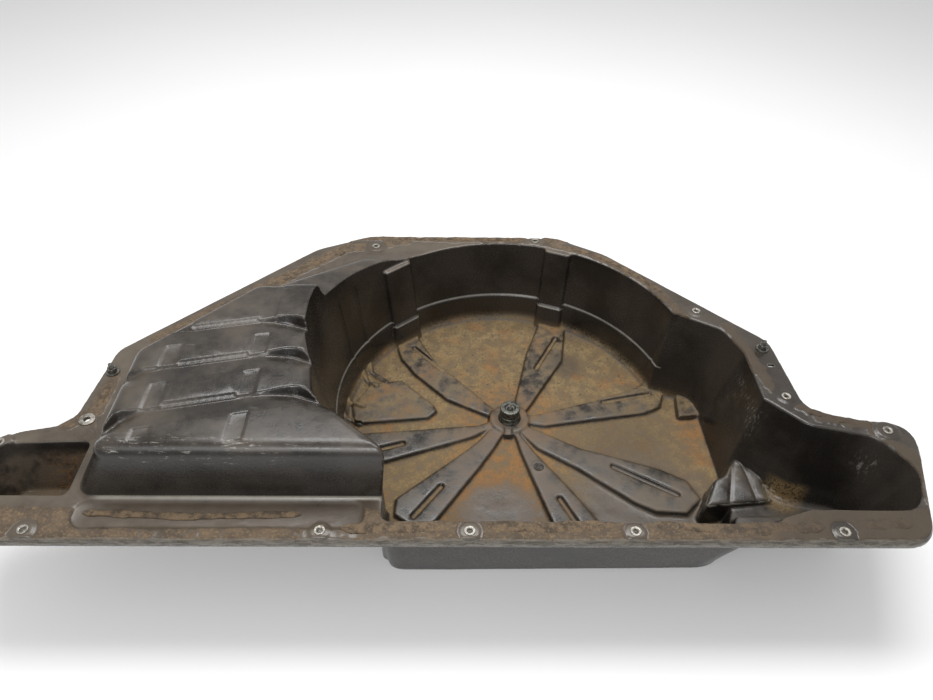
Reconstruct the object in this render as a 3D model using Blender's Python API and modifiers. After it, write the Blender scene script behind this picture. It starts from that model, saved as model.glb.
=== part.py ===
"""Spare-wheel well tub: a moulded boot-floor pan with its sleeves, studs, hold-down post and sealant.

Metres, +Z up, +X to the object's right, +Y to its back. The origin is at the centre of the
bounding box, on the surface that the wheel well stands on.
"""
import math

import bmesh
import bpy
from mathutils import Vector

# Driving dimensions
FLANGE_TOP = 0.200          # the flange plane above the underside of the wheel well
WALL = 0.004                # moulding thickness
CLEARANCE = 0.0003          # between touching pieces
LIP_DEPTH = 0.016           # turned-down edge of the flange
LIP_THICKNESS = 0.003
FRONT_Y = -0.395            # front edge of the flange
WELL_CENTRE = (0.100, 0.019)
HUB_CENTRE = (0.111, 0.015)
RIM_RADIUS = 0.349          # wheel well at the flange
STEP_RADIUS = 0.331         # wheel well at the crease in its wall
STEP_DEPTH = 0.126          # the crease below the flange
FLOOR_RADIUS = 0.326        # below the crease
PLATFORM_TOP = 0.100        # platform above the flange
SPOKE_HEIGHT = 0.012        # spokes above the low sectors of the floor
HUB_HEIGHT = 0.016
HUB_RADIUS = 0.040
POST_RADIUS = 0.020
POST_HEIGHT = 0.030
POST_SOCKET_RADIUS = 0.009
POST_SOCKET_DEPTH = 0.022
THREAD_RADIUS = 0.0062      # bore of the threaded insert
SHANK_RADIUS = 0.008
SHANK_END = 0.003           # lowest point of the post's shank
POCKET_DEPTH = 0.090        # left pocket
BAY_DEPTH = 0.160           # right pocket, beside the well
GROOVE_DEPTH = 0.008        # grooves between the loaves of the platform
GROOVE_TURN = math.radians(12.5)
ARC_STEPS = 4               # straight pieces in each rounded corner
TURN_STEPS = 64             # straight pieces round a turned shape

FLOOR_TOP = WALL
SPOKE_TOP = FLOOR_TOP + SPOKE_HEIGHT
HUB_TOP = FLOOR_TOP + HUB_HEIGHT

# Flange outline from the front left, counterclockwise: x, y, corner radius
FLANGE = [(-0.720, FRONT_Y, 0.055), (0.712, FRONT_Y, 0.055), (0.790, -0.150, 0.055),
          (0.700, -0.149, 0.060), (0.612, -0.125, 0.045), (0.600, 0.052, 0.060),
          (0.325, 0.335, 0.120), (0.225, 0.395, 0.080), (-0.190, 0.395, 0.090),
          (-0.300, 0.345, 0.090), (-0.622, 0.015, 0.050), (-0.640, -0.165, 0.040),
          (-0.715, -0.182, 0.070), (-0.784, -0.225, 0.055)]

# Front bay of the wheel well and the right pocket, at the rim and at the floor
BAY_RIM = [(-0.113, -0.358, 0.014), (0.500, -0.363, 0.040), (0.542, -0.200, 0.040),
           (0.541, 0.020, 0.050), (0.515, 0.085, 0.040), (0.430, 0.135, 0.050), (0.100, 0.135, 0.020)]
BAY_FLOOR = [(-0.116, -0.320, 0.022), (0.448, -0.314, 0.060), (0.505, -0.180, 0.040),
             (0.502, 0.020, 0.050), (0.488, 0.072, 0.040), (0.400, 0.105, 0.050), (0.100, 0.105, 0.020)]
POCKET_RIM = [(0.470, -0.362, 0.020), (0.545, -0.337, 0.030), (0.715, -0.337, 0.050),
              (0.748, -0.262, 0.050), (0.705, -0.188, 0.045), (0.600, -0.163, 0.045),
              (0.546, -0.105, 0.040), (0.470, -0.060, 0.010)]
POCKET_FLOOR = [(0.430, -0.285, 0.020), (0.540, -0.290, 0.030), (0.680, -0.290, 0.040),
                (0.705, -0.255, 0.040), (0.672, -0.218, 0.040), (0.585, -0.195, 0.040),
                (0.505, -0.115, 0.040), (0.430, -0.060, 0.010)]
LEFT_RIM = [(-0.748, -0.314, 0.035), (-0.590, -0.314, 0.012), (-0.590, -0.205, 0.012),
            (-0.735, -0.211, 0.040)]
LEFT_FLOOR = [(-0.738, -0.304, 0.030), (-0.596, -0.304, 0.012), (-0.596, -0.232, 0.012),
              (-0.715, -0.236, 0.030)]

# Platform at its foot and at its top, and the lower plateau behind it
PLATFORM_FOOT = [(-0.576, -0.318, 0.035), (-0.050, -0.318, 0.010), (-0.050, 0.135, 0.010),
                 (-0.290, 0.140, 0.050), (-0.400, 0.140, 0.050), (-0.578, -0.045, 0.050)]
PLATFORM_EDGE = [(-0.532, -0.308, 0.022), (-0.050, -0.308, 0.010), (-0.050, 0.095, 0.010),
                 (-0.290, 0.100, 0.030), (-0.365, 0.092, 0.030), (-0.530, -0.088, 0.030)]
PLATEAU_TOP = 0.066
PLATEAU_FOOT = [(-0.430, 0.060, 0.020), (-0.050, 0.060, 0.010), (-0.050, 0.330, 0.020),
                (-0.200, 0.318, 0.070), (-0.370, 0.170, 0.060)]
PLATEAU_EDGE = [(-0.400, 0.070, 0.020), (-0.050, 0.070, 0.010), (-0.050, 0.300, 0.020),
                (-0.190, 0.280, 0.050), (-0.335, 0.140, 0.050)]
PLATEAU_FALL = ((-0.240, 0.110), (-0.100, 0.310), 0.12)   # full height, lowest place, share left there

# Wheel side of the platform: floor, flange and top
SHOULDER_FLOOR = [(-0.116, -0.302, 0.010), (0.050, -0.302, 0.010), (0.050, -0.060, 0.010),
                  (-0.195, -0.060, 0.020), (-0.185, -0.120, 0.060), (-0.122, -0.200, 0.030)]
SHOULDER_RIM = [(-0.108, -0.357, 0.010), (0.050, -0.357, 0.010), (0.050, -0.060, 0.010),
                (-0.236, -0.060, 0.010), (-0.216, -0.160, 0.060), (-0.112, -0.285, 0.030)]
SHOULDER_EDGE = [(-0.096, -0.420, 0.008), (0.050, -0.420, 0.010), (0.050, -0.060, 0.010),
                 (-0.244, -0.060, 0.010), (-0.222, -0.185, 0.050), (-0.104, -0.292, 0.030)]

# Grooves across the platform: left end
GROOVES = [(-0.515, -0.237), (-0.515, -0.141), (-0.515, -0.057)]
GROOVE_LENGTH = 0.285

# Raised spokes of the floor: corners as (angle in degrees, radius) about the well, counterclockwise
SPOKES = {
    "a": [(118, 0.030), (129.4, 0.223), (126.5, 0.290), (125, 0.323), (136.5, 0.323), (142, 0.279),
          (146.6, 0.227), (157.8, 0.128), (180, 0.030)],
    "b": [(10, 0.040), (22.3, 0.057), (50.8, 0.220), (59.8, 0.305), (61, 0.323), (73, 0.323), (74.3, 0.204),
          (62, 0.040)],
    "c": [(330, 0.030), (343, 0.086), (2.3, 0.290), (5.5, 0.330), (12, 0.350), (20, 0.330), (18.5, 0.300),
          (16.4, 0.215), (12, 0.063), (40, 0.030)],
    "d": [(300, 0.030), (305.7, 0.101), (315.2, 0.186), (317.4, 0.311), (319, 0.352), (324, 0.400),
          (331, 0.412), (336, 0.372), (337, 0.318), (333.5, 0.165), (338, 0.075), (350, 0.030)],
    "e": [(270, 0.030), (288.4, 0.054), (285.5, 0.101), (286, 0.322), (303, 0.322), (304.5, 0.229),
          (305.2, 0.102), (313, 0.040)],
    "f": [(215, 0.030), (226, 0.082), (225, 0.139), (223, 0.289), (228, 0.318), (239, 0.320), (242.8, 0.283),
          (250.2, 0.133), (256.7, 0.086), (275, 0.040)],
    "g": [(180, 0.020), (196, 0.056), (187.5, 0.300), (188, 0.320), (203, 0.320), (207, 0.258), (214, 0.128),
          (221, 0.083), (235, 0.035)],
}
SLOTS = {"b": (62.5, 0.160, 0.285), "c": (13, 0.208, 0.325), "d": (329, 0.231, 0.372),
         "e": (295.5, 0.213, 0.285), "f": (234, 0.205, 0.300), "g": (198.5, 0.205, 0.290)}
SLOT_WIDTH = 0.012
PAD = [(184, 0.304), (174, 0.316), (160, 0.296), (152, 0.239), (164, 0.146), (172, 0.132), (181.5, 0.150)]
PILASTERS = {"a": (127.0, 0.062), "b": (67.5, 0.050)}
PILASTER_DEPTH = 0.012

# Raised pads on the floor beside the right pocket: corners and height above the floor
CORNER_PAD = [(0.452, 0.019, 0.006), (0.530, 0.027, 0.006), (0.530, 0.110, 0.010), (0.462, 0.104, 0.006)]
BLOCK = [(0.430, -0.230, 0.010), (0.575, -0.215, 0.010), (0.555, -0.110, 0.020), (0.518, -0.104, 0.020),
         (0.488, -0.150, 0.020), (0.468, -0.158, 0.015)]
SMALL_BLOCK = [(0.455, -0.300, 0.010), (0.600, -0.300, 0.010), (0.570, -0.238, 0.015), (0.484, -0.240, 0.015)]

# Fastening points on the flange: x, y, height of the boss under each sleeve
SLEEVES = {
    "sleeve_front_far_left": (-0.627, -0.3775, 0.0025),
    "sleeve_front_left": (-0.197, -0.3775, 0.0025),
    "sleeve_front_centre": (0.023, -0.3775, 0.0025),
    "sleeve_front_right": (0.268, -0.3775, 0.0025),
    "sleeve_front_far_right": (0.579, -0.3775, 0.0025),
    "sleeve_right_lobe": (0.727, -0.1775, 0.004),
    "sleeve_left_lobe": (-0.733, -0.213, 0.004),
    "sleeve_right_neck": (0.582, -0.097, 0.0015),
    "sleeve_right_diagonal": (0.478, 0.138, 0.0015),
    "sleeve_back_left": (-0.173, 0.352, 0.0015),
    "sleeve_back_right": (0.176, 0.378, 0.0015),
}
BOSS_RADIUS = 0.0155
SLEEVE_HOLE = 0.0062
SLEEVE_BORE = 0.0038
SLEEVE_HEAD = 0.0085
STUDS = {"left": (-0.608, -0.046), "right": (0.577, 0.028)}
STUD_RADIUS = 0.004
STUD_HEIGHT = 0.020
WASHER_PLACE = (-0.613, -0.160)
WASHER_RADIUS = 0.0135
WASHER_BORE = 0.0056
GAUGE_SLOT_PLACE = (0.580, -0.017)
GAUGE_SLOT_SIZE = (0.010, 0.006, 0.040)
PLUG_PLACE = (295.8, 0.140)   # blanking plug in spoke e: angle and radius about the well
PLUG_RADIUS = 0.008

# Old sealant on the flange: width and the stretch that each piece follows
SEALANT_HEIGHT = 0.003
DIAGONAL_RADIUS = 0.3655    # middle of the narrow flange behind the well
SEALANT = {
    "sealant_front_left": (0.020, [(-0.560, -0.342), (-0.400, -0.350), (-0.225, -0.345)]),
    "sealant_front_mid_left": (0.014, [(-0.172, -0.380), (-0.080, -0.380), (0.000, -0.380)]),
    "sealant_front_mid_right": (0.014, [(0.048, -0.380), (0.140, -0.381), (0.244, -0.380)]),
    "sealant_front_right": (0.014, [(0.294, -0.380), (0.420, -0.381), (0.552, -0.379)]),
    "sealant_front_corner": (0.016, [(0.605, -0.364), (0.640, -0.366), (0.680, -0.366)]),
    "sealant_left_front": (0.020, [(-0.710, -0.354), (-0.670, -0.352), (-0.625, -0.349)]),
    "sealant_right_neck": (0.016, [(0.690, -0.163), (0.640, -0.146), (0.604, -0.128)]),
    "sealant_back": (0.010, [(0.140, 0.382), (0.050, 0.383), (-0.140, 0.381)]),
    "sealant_left_diagonal": (0.018, [(-0.235, 0.335), (-0.300, 0.285), (-0.400, 0.185), (-0.500, 0.085)]),
    "sealant_left_neck": (0.012, [(-0.603, -0.076), (-0.606, -0.134)]),
}

MATERIALS = {
    "moulded_plastic": ((0.028, 0.025, 0.022, 1), 0.45, 0.0),
    "zinc_steel": ((0.46, 0.44, 0.40, 1), 0.45, 0.9),
    "dark_steel": ((0.10, 0.09, 0.08, 1), 0.55, 0.8),
    "rubber": ((0.03, 0.03, 0.028, 1), 0.8, 0.0),
    "sealant": ((0.17, 0.12, 0.075, 1), 0.95, 0.0),
}


def clear_scene():
    """Remove whatever the scene holds."""
    for obj in list(bpy.data.objects):
        bpy.data.objects.remove(obj, do_unlink=True)


def make_collection(name):
    """A new collection in the scene."""
    collection = bpy.data.collections.new(name)
    bpy.context.scene.collection.children.link(collection)
    return collection


def make_material(name):
    """The material of one kind, with its colour, roughness and metallic value."""
    material = bpy.data.materials.get(name)
    if material:
        return material
    colour, roughness, metallic = MATERIALS[name]
    material = bpy.data.materials.new(name)
    material.use_nodes = True
    shader = material.node_tree.nodes["Principled BSDF"]
    shader.inputs["Base Color"].default_value = colour
    shader.inputs["Roughness"].default_value = roughness
    shader.inputs["Metallic"].default_value = metallic
    material.diffuse_color = colour
    return material


def add_object(name, mesh, collection, material=None, location=(0, 0, 0)):
    """Link a mesh as an object."""
    obj = bpy.data.objects.new(name, mesh)
    obj.location = location
    collection.objects.link(obj)
    if material:
        own = make_material(material).copy()
        own.name = name
        mesh.materials.append(own)
    return obj


def evaluated_mesh(obj):
    """The mesh of an object with its modifiers applied."""
    graph = bpy.context.evaluated_depsgraph_get()
    graph.update()
    return bpy.data.meshes.new_from_object(obj.evaluated_get(graph))


def as_cutter(obj):
    """Show a cutter as wires and keep it out of the render."""
    obj.hide_render = True
    obj.display_type = "WIRE"
    return obj


def round_corners(corners, steps=ARC_STEPS):
    """Points of an outline whose corners are arcs, each with the same number of pieces."""
    points = []
    count = len(corners)
    for index, (x, y, radius) in enumerate(corners):
        here = Vector((x, y))
        to_last = (Vector(corners[index - 1][:2]) - here).normalized()
        to_next = (Vector(corners[(index + 1) % count][:2]) - here).normalized()
        half = to_last.angle(to_next) / 2
        reach = radius / math.tan(half)
        start = here + to_last * reach
        end = here + to_next * reach
        for step in range(steps + 1):
            t = step / steps
            points.append(start.lerp(here, t).lerp(here.lerp(end, t), t))
    return points


def shift_corners(corners, inward):
    """The same outline moved inward by a distance, with its radii kept round the same centres."""
    moved = []
    count = len(corners)
    for index, (x, y, radius) in enumerate(corners):
        here = Vector((x, y))
        along_last = (here - Vector(corners[index - 1][:2])).normalized()
        along_next = (Vector(corners[(index + 1) % count][:2]) - here).normalized()
        normal_last = Vector((-along_last.y, along_last.x))
        normal_next = Vector((-along_next.y, along_next.x))
        bisector = normal_last + normal_next
        shift = bisector * inward * 2 / bisector.length_squared
        turns_left = along_last.cross(along_next) > 0
        new_radius = radius - inward if turns_left else radius + inward
        moved.append((x + shift.x, y + shift.y, max(new_radius, 0.0015)))
    return moved


def loft(name, levels, collection, material=None, steps=ARC_STEPS):
    """A closed solid through outlines at rising heights: levels are (z, corners)."""
    bm = bmesh.new()
    rings = []
    for z, corners in levels:
        rings.append([bm.verts.new((p.x, p.y, z)) for p in round_corners(corners, steps)])
    for lower, upper in zip(rings, rings[1:]):
        for index in range(len(lower)):
            after = (index + 1) % len(lower)
            bm.faces.new((lower[index], lower[after], upper[after], upper[index]))
    bm.faces.new(list(reversed(rings[0])))
    bm.faces.new(rings[-1])
    mesh = bpy.data.meshes.new(name)
    bm.to_mesh(mesh)
    bm.free()
    return add_object(name, mesh, collection, material)


def turned(name, profile, collection, material=None, location=(0, 0, 0), steps=TURN_STEPS, ring=False):
    """A turned solid from (radius, z) points that run down its outer side; a ring's profile is closed."""
    edges = [(i, i + 1) for i in range(len(profile) - 1)]
    if ring:
        edges.append((len(profile) - 1, 0))
    mesh = bpy.data.meshes.new(name + "_profile")
    mesh.from_pydata([(r, 0, z) for r, z in profile], edges, [])
    guide = add_object(name + "_guide", mesh, collection)
    screw = guide.modifiers.new("Screw", "SCREW")
    screw.steps = steps
    screw.render_steps = steps
    screw.use_merge_vertices = True
    screw.merge_threshold = 0.00005
    solid = evaluated_mesh(guide)
    bpy.data.objects.remove(guide)
    obj = add_object(name, solid, collection, material, location)
    for polygon in solid.polygons:
        polygon.use_smooth = True
    solid.set_sharp_from_angle(angle=math.radians(35))
    return obj


def polar(angle, radius):
    """A point about the well: angle in degrees from +X."""
    turn = math.radians(angle)
    return WELL_CENTRE[0] + radius * math.cos(turn), WELL_CENTRE[1] + radius * math.sin(turn)


def polar_corners(places, corner_radius):
    """Outline corners from polar places."""
    return [polar(angle, radius) + (corner_radius,) for angle, radius in places]


def combine(target, tools, operation):
    """Join tools to the target, or cut them from it, and keep the result as its mesh.

    The exact solver leaves open edges where the turned well meets the bays, so the solver for
    closed meshes does these joins.
    """
    for tool in tools:
        modifier = target.modifiers.new(tool.name, "BOOLEAN")
        modifier.operation = operation
        modifier.object = tool
        modifier.solver = "MANIFOLD"
        mesh = evaluated_mesh(target)
        target.modifiers.clear()
        target.data = mesh
    return target


def well_profile(extra, top):
    """Half section of the wheel well, moved outward by extra and carried up to a height."""
    floor = FLOOR_TOP - extra
    profile = [(0, top)]
    if top > FLANGE_TOP:
        profile.append((RIM_RADIUS + extra + 0.020, top))
        profile.append((RIM_RADIUS + extra + 0.012, FLANGE_TOP + 0.095))
    profile += [(RIM_RADIUS + extra, FLANGE_TOP - 0.002),
                (STEP_RADIUS + extra, FLANGE_TOP - STEP_DEPTH + 0.002),
                (FLOOR_RADIUS + extra, FLANGE_TOP - STEP_DEPTH - 0.003),
                (FLOOR_RADIUS - 0.003 + extra, floor + 0.020),
                (FLOOR_RADIUS - 0.009 + extra, floor + 0.006),
                (FLOOR_RADIUS - 0.024 + extra, floor),
                (0, floor)]
    return profile


def well_solid(name, extra, top, tools):
    """The turned part of the wheel well."""
    place = (WELL_CENTRE[0], WELL_CENTRE[1], 0)
    return as_cutter(turned(name, well_profile(extra, top), tools, location=place))


def pocket_solid(name, rim, foot, depth, extra, top, tools):
    """A pocket that hangs from the flange, with leaning walls and a rounded foot."""
    low = FLANGE_TOP - depth - extra
    foot_edge = shift_corners(foot, -extra)
    levels = [(low, shift_corners(foot_edge, 0.012)), (low + 0.005, shift_corners(foot_edge, 0.003)),
              (low + 0.016, foot_edge), (min(top, FLANGE_TOP), shift_corners(rim, -extra))]
    if top > FLANGE_TOP:
        levels.append((top, shift_corners(rim, -extra - 0.001)))
    return as_cutter(loft(name, levels, tools))


def raised_solid(name, foot, edge, height, inset, low, tools):
    """A mound on the flange with a rounded top edge, moved inward by inset."""
    top = FLANGE_TOP + height - inset
    foot_line = shift_corners(foot, inset)
    edge_line = shift_corners(edge, inset)
    levels = [(low, foot_line), (FLANGE_TOP, foot_line), (top - 0.022, edge_line),
              (top - 0.009, shift_corners(edge_line, 0.004)), (top - 0.002, shift_corners(edge_line, 0.011)),
              (top, shift_corners(edge_line, 0.021))]
    return as_cutter(loft(name, levels, tools))


def shoulder_solid(name, extra, tools, above=True):
    """The space on the wheel side of the platform, flared at the platform's top edge."""
    edge = shift_corners(SHOULDER_EDGE, -extra)
    top = FLANGE_TOP + PLATFORM_TOP
    levels = [(FLOOR_TOP - extra, shift_corners(SHOULDER_FLOOR, 0.010 - extra)),
              (FLOOR_TOP - extra + 0.012, shift_corners(SHOULDER_FLOOR, -extra)),
              (FLANGE_TOP - 0.003, shift_corners(SHOULDER_RIM, -extra))]
    if above:
        levels += [(top - 0.022, edge), (top - 0.008, shift_corners(edge, -0.005)),
                   (top + 0.001, shift_corners(edge, -0.018)), (top + 0.030, shift_corners(edge, -0.018))]
    return as_cutter(loft(name, levels, tools))


def fall_away(obj, start, end, share, wall):
    """Lower a mound along a line, so that only a share of its height is left at the line's end."""
    line = Vector(end) - Vector(start)
    for vertex in obj.data.vertices:
        if vertex.co.z <= FLANGE_TOP:
            continue
        along = (vertex.co.xy - Vector(start)).dot(line) / line.length_squared
        factor = 1 - (1 - share) * min(max(along, 0), 1)
        vertex.co.z = FLANGE_TOP + (vertex.co.z + wall - FLANGE_TOP) * factor - wall
    return obj


def drafted(name, corners, low, high, tools, draft=0.004):
    """A low raised pad whose top is smaller than its foot."""
    return as_cutter(loft(name, [(low, corners), (high, shift_corners(corners, draft))], tools, steps=2))


def cylinder(name, place, radius, low, high, tools, steps=20):
    """An upright cylinder made from a primitive."""
    bm = bmesh.new()
    bmesh.ops.create_cone(bm, cap_ends=True, segments=steps, radius1=radius, radius2=radius, depth=high - low)
    mesh = bpy.data.meshes.new(name)
    bm.to_mesh(mesh)
    bm.free()
    return as_cutter(add_object(name, mesh, tools, location=(place[0], place[1], (low + high) / 2)))


def block(name, size, place, turn, tools, tilt=0.0):
    """A box made from a primitive, turned about Z and tilted about its own X."""
    bm = bmesh.new()
    bmesh.ops.create_cube(bm, size=1.0)
    bmesh.ops.scale(bm, vec=size, verts=bm.verts)
    mesh = bpy.data.meshes.new(name)
    bm.to_mesh(mesh)
    bm.free()
    obj = as_cutter(add_object(name, mesh, tools, location=place))
    obj.rotation_euler = (tilt, 0, turn)
    bpy.context.view_layer.update()
    return obj


def flange_solid(tools):
    """The flange sheet with its turned-down lip, before anything is cut from it."""
    low = FLANGE_TOP - LIP_DEPTH
    flange = loft("flange", [(low, FLANGE), (FLANGE_TOP, FLANGE)], tools)
    hollow = shift_corners(FLANGE, LIP_THICKNESS)
    under = as_cutter(loft("flange_hollow", [(low - 0.01, hollow), (FLANGE_TOP - WALL, hollow)], tools))
    return combine(flange, [under], "DIFFERENCE")


def groove_tools(tools):
    """Cutters for the grooves between the loaves, which widen at both ends."""
    cutters = []
    top = FLANGE_TOP + PLATFORM_TOP
    along = Vector((math.cos(GROOVE_TURN), math.sin(GROOVE_TURN), 0))
    width = GROOVE_DEPTH * math.sqrt(2)
    for index, (x, y) in enumerate(GROOVES):
        start = Vector((x, y, top))
        middle = start + along * GROOVE_LENGTH / 2
        size = (GROOVE_LENGTH * 1.3, width, width)
        cutters.append(block(f"groove_{index}", size, middle, GROOVE_TURN, tools, tilt=math.radians(45)))
        for end, facing in ((start, -1), (start + along * GROOVE_LENGTH, 1)):
            cutters.append(groove_end(f"groove_{index}_{facing}", end, facing, tools))
    return cutters


def groove_end(name, place, facing, tools):
    """A lying cone that widens one end of a groove."""
    bm = bmesh.new()
    bmesh.ops.create_cone(bm, cap_ends=True, segments=12, radius1=0.002, radius2=0.026, depth=0.11)
    mesh = bpy.data.meshes.new(name)
    bm.to_mesh(mesh)
    bm.free()
    obj = as_cutter(add_object(name, mesh, tools, location=place))
    obj.rotation_euler = (0, math.radians(90) * facing, GROOVE_TURN)
    bpy.context.view_layer.update()
    return obj


def floor_tools(tools):
    """Spokes, hub, pads and pilasters that stand on the floor of the wheel well."""
    raised = []
    low = FLOOR_TOP - WALL / 2
    for key, places in SPOKES.items():
        corners = polar_corners(places, 0.006)
        raised.append(drafted(f"spoke_{key}", corners, low, SPOKE_TOP, tools))
    raised.append(drafted("floor_pad", polar_corners(list(reversed(PAD)), 0.010), low, SPOKE_TOP, tools))
    raised.append(cylinder("hub", HUB_CENTRE, HUB_RADIUS, low, HUB_TOP, tools, steps=32))
    for key, (angle, width) in PILASTERS.items():
        raised.append(pilaster(key, angle, width, tools))
    raised.append(drafted("corner_pad", CORNER_PAD, low, FLOOR_TOP + 0.014, tools, draft=0.003))
    raised.append(drafted("block", BLOCK, low, FLOOR_TOP + 0.056, tools, draft=0.012))
    raised.append(drafted("small_block", SMALL_BLOCK, low, FLOOR_TOP + 0.055, tools, draft=0.010))
    return raised


def pilaster(key, angle, width, tools):
    """A flat upright band on the wall above one spoke, leaning with the wall."""
    turn = math.radians(angle)
    outward = Vector((math.cos(turn), math.sin(turn)))
    across = Vector((-outward.y, outward.x))
    centre = Vector(WELL_CENTRE)
    levels = []
    for z, radius in ((FLOOR_TOP - 0.001, FLOOR_RADIUS - 0.006), (FLANGE_TOP - 0.001, RIM_RADIUS)):
        inner = centre + outward * (radius - PILASTER_DEPTH)
        outer = centre + outward * (radius + 0.002)
        ends = [inner - across * width / 2, inner + across * width / 2,
                outer + across * (width / 2 + 0.005), outer - across * (width / 2 + 0.005)]
        levels.append((z, [(p.x, p.y, 0.003) for p in reversed(ends)]))
    return as_cutter(loft(f"pilaster_{key}", levels, tools, steps=2))


def slot_tools(tools):
    """Cutters for the long hollows in the spokes, and for the space under the hub."""
    cutters = []
    for key, (angle, inner, outer) in SLOTS.items():
        half = SLOT_WIDTH / 2
        turn = math.radians(angle)
        across = Vector((-math.sin(turn), math.cos(turn))) * half
        near = Vector(polar(angle, inner))
        far = Vector(polar(angle, outer))
        ends = [near - across, far - across, far + across, near + across]
        corners = [(p.x, p.y, half * 0.9) for p in ends]
        low = SPOKE_TOP - 0.008
        cutters.append(as_cutter(loft(f"slot_{key}", [(low, corners), (SPOKE_TOP + 0.01, corners)], tools)))
    cutters.append(cylinder("hub_recess", HUB_CENTRE, HUB_RADIUS - 0.008, -0.01, HUB_TOP - WALL, tools, 32))
    cutters.append(cylinder("post_hole", HUB_CENTRE, SHANK_RADIUS + CLEARANCE, -0.01, HUB_TOP + 0.01, tools))
    return cutters


def hole_tools(tools):
    """Cutters for the holes in the flange and the one in spoke e."""
    low = FLANGE_TOP - 0.02
    high = FLANGE_TOP + 0.02
    cutters = []
    for name, (x, y, _) in SLEEVES.items():
        cutters.append(cylinder(f"hole_{name}", (x, y), SLEEVE_HOLE + CLEARANCE, low, high, tools, 16))
    for side, place in STUDS.items():
        cutters.append(cylinder(f"stud_hole_{side}", place, STUD_RADIUS + CLEARANCE, low, high, tools, 16))
    cutters.append(cylinder("washer_hole", WASHER_PLACE, WASHER_BORE, low, high, tools, 16))
    cutters.append(cylinder("plug_hole", polar(*PLUG_PLACE), PLUG_RADIUS, -0.01, SPOKE_TOP + 0.01, tools, 16))
    cutters.append(block("gauge_slot", GAUGE_SLOT_SIZE, (*GAUGE_SLOT_PLACE, FLANGE_TOP), 0, tools))
    return cutters


def boss_tools(tools):
    """Raised pads under the sleeves."""
    bosses = []
    for name, (x, y, height) in SLEEVES.items():
        radius = BOSS_RADIUS if "lobe" not in name else BOSS_RADIUS * 1.3
        bosses.append(cylinder(f"boss_{name}", (x, y), radius, FLANGE_TOP - WALL / 2,
                               FLANGE_TOP + height, tools, 20))
    return bosses


def outer_solid(tools):
    """Outside of the wheel well and its pockets, all below the flange."""
    outer = well_solid("well_outer", WALL, FLANGE_TOP - 0.001, tools)
    pockets = [("bay_outer", BAY_RIM, BAY_FLOOR, FLANGE_TOP - WALL),
               ("pocket_outer", POCKET_RIM, POCKET_FLOOR, BAY_DEPTH),
               ("left_outer", LEFT_RIM, LEFT_FLOOR, POCKET_DEPTH)]
    for index, (name, rim, foot, depth) in enumerate(pockets):
        top = FLANGE_TOP - 0.0015 - index * 0.0005
        combine(outer, [pocket_solid(name, rim, foot, depth, WALL, top, tools)], "UNION")
    return combine(outer, [shoulder_solid("shoulder_outer", WALL, tools, above=False)], "UNION")


def inner_tools(suffix, extra, tools):
    """The spaces inside the wheel well and its pockets, moved outward by extra."""
    top_of_all = FLANGE_TOP + PLATFORM_TOP + 0.030
    above = FLANGE_TOP + 0.01
    return [well_solid("well_" + suffix, extra, top_of_all, tools),
            shoulder_solid("shoulder_" + suffix, extra, tools),
            pocket_solid("bay_" + suffix, BAY_RIM, BAY_FLOOR, FLANGE_TOP - WALL, extra, above, tools),
            pocket_solid("pocket_" + suffix, POCKET_RIM, POCKET_FLOOR, BAY_DEPTH, extra, above, tools),
            pocket_solid("left_" + suffix, LEFT_RIM, LEFT_FLOOR, POCKET_DEPTH, extra, above, tools)]


def platform_solid(suffix, wall, low, tools):
    """The platform and the plateau behind it, moved inward by a wall's thickness."""
    name = "platform_" + suffix
    platform = raised_solid(name, PLATFORM_FOOT, PLATFORM_EDGE, PLATFORM_TOP, wall, low, tools)
    name = "plateau_" + suffix
    plateau = raised_solid(name, PLATEAU_FOOT, PLATEAU_EDGE, PLATEAU_TOP, wall, low + 0.0005, tools)
    fall_away(plateau, *PLATEAU_FALL, wall)
    return combine(platform, [plateau], "UNION")


def make_tub(parts, tools):
    """The one-piece moulded tub."""
    tub = flange_solid(tools)
    outer = outer_solid(tools)
    combine(tub, [platform_solid("outer", 0, FLANGE_TOP - WALL, tools), outer], "UNION")
    under = platform_solid("under", WALL, -0.02, tools)
    combine(under, inner_tools("keep", WALL, tools), "DIFFERENCE")
    lowered = groove_tools(tools)
    for groove in lowered:
        groove.location.z -= WALL
    combine(under, lowered, "DIFFERENCE")
    combine(tub, [under], "DIFFERENCE")
    combine(tub, inner_tools("inner", 0, tools), "DIFFERENCE")
    raised = [combine(tool, [outer], "INTERSECT") for tool in floor_tools(tools)]
    combine(tub, raised + boss_tools(tools), "UNION")
    combine(tub, groove_tools(tools) + slot_tools(tools) + hole_tools(tools), "DIFFERENCE")
    tub.name = "tub_shell"
    tools.objects.unlink(tub)
    parts.objects.link(tub)
    tub.data.materials.clear()
    tub.data.materials.append(make_material("moulded_plastic"))
    return tub


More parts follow.
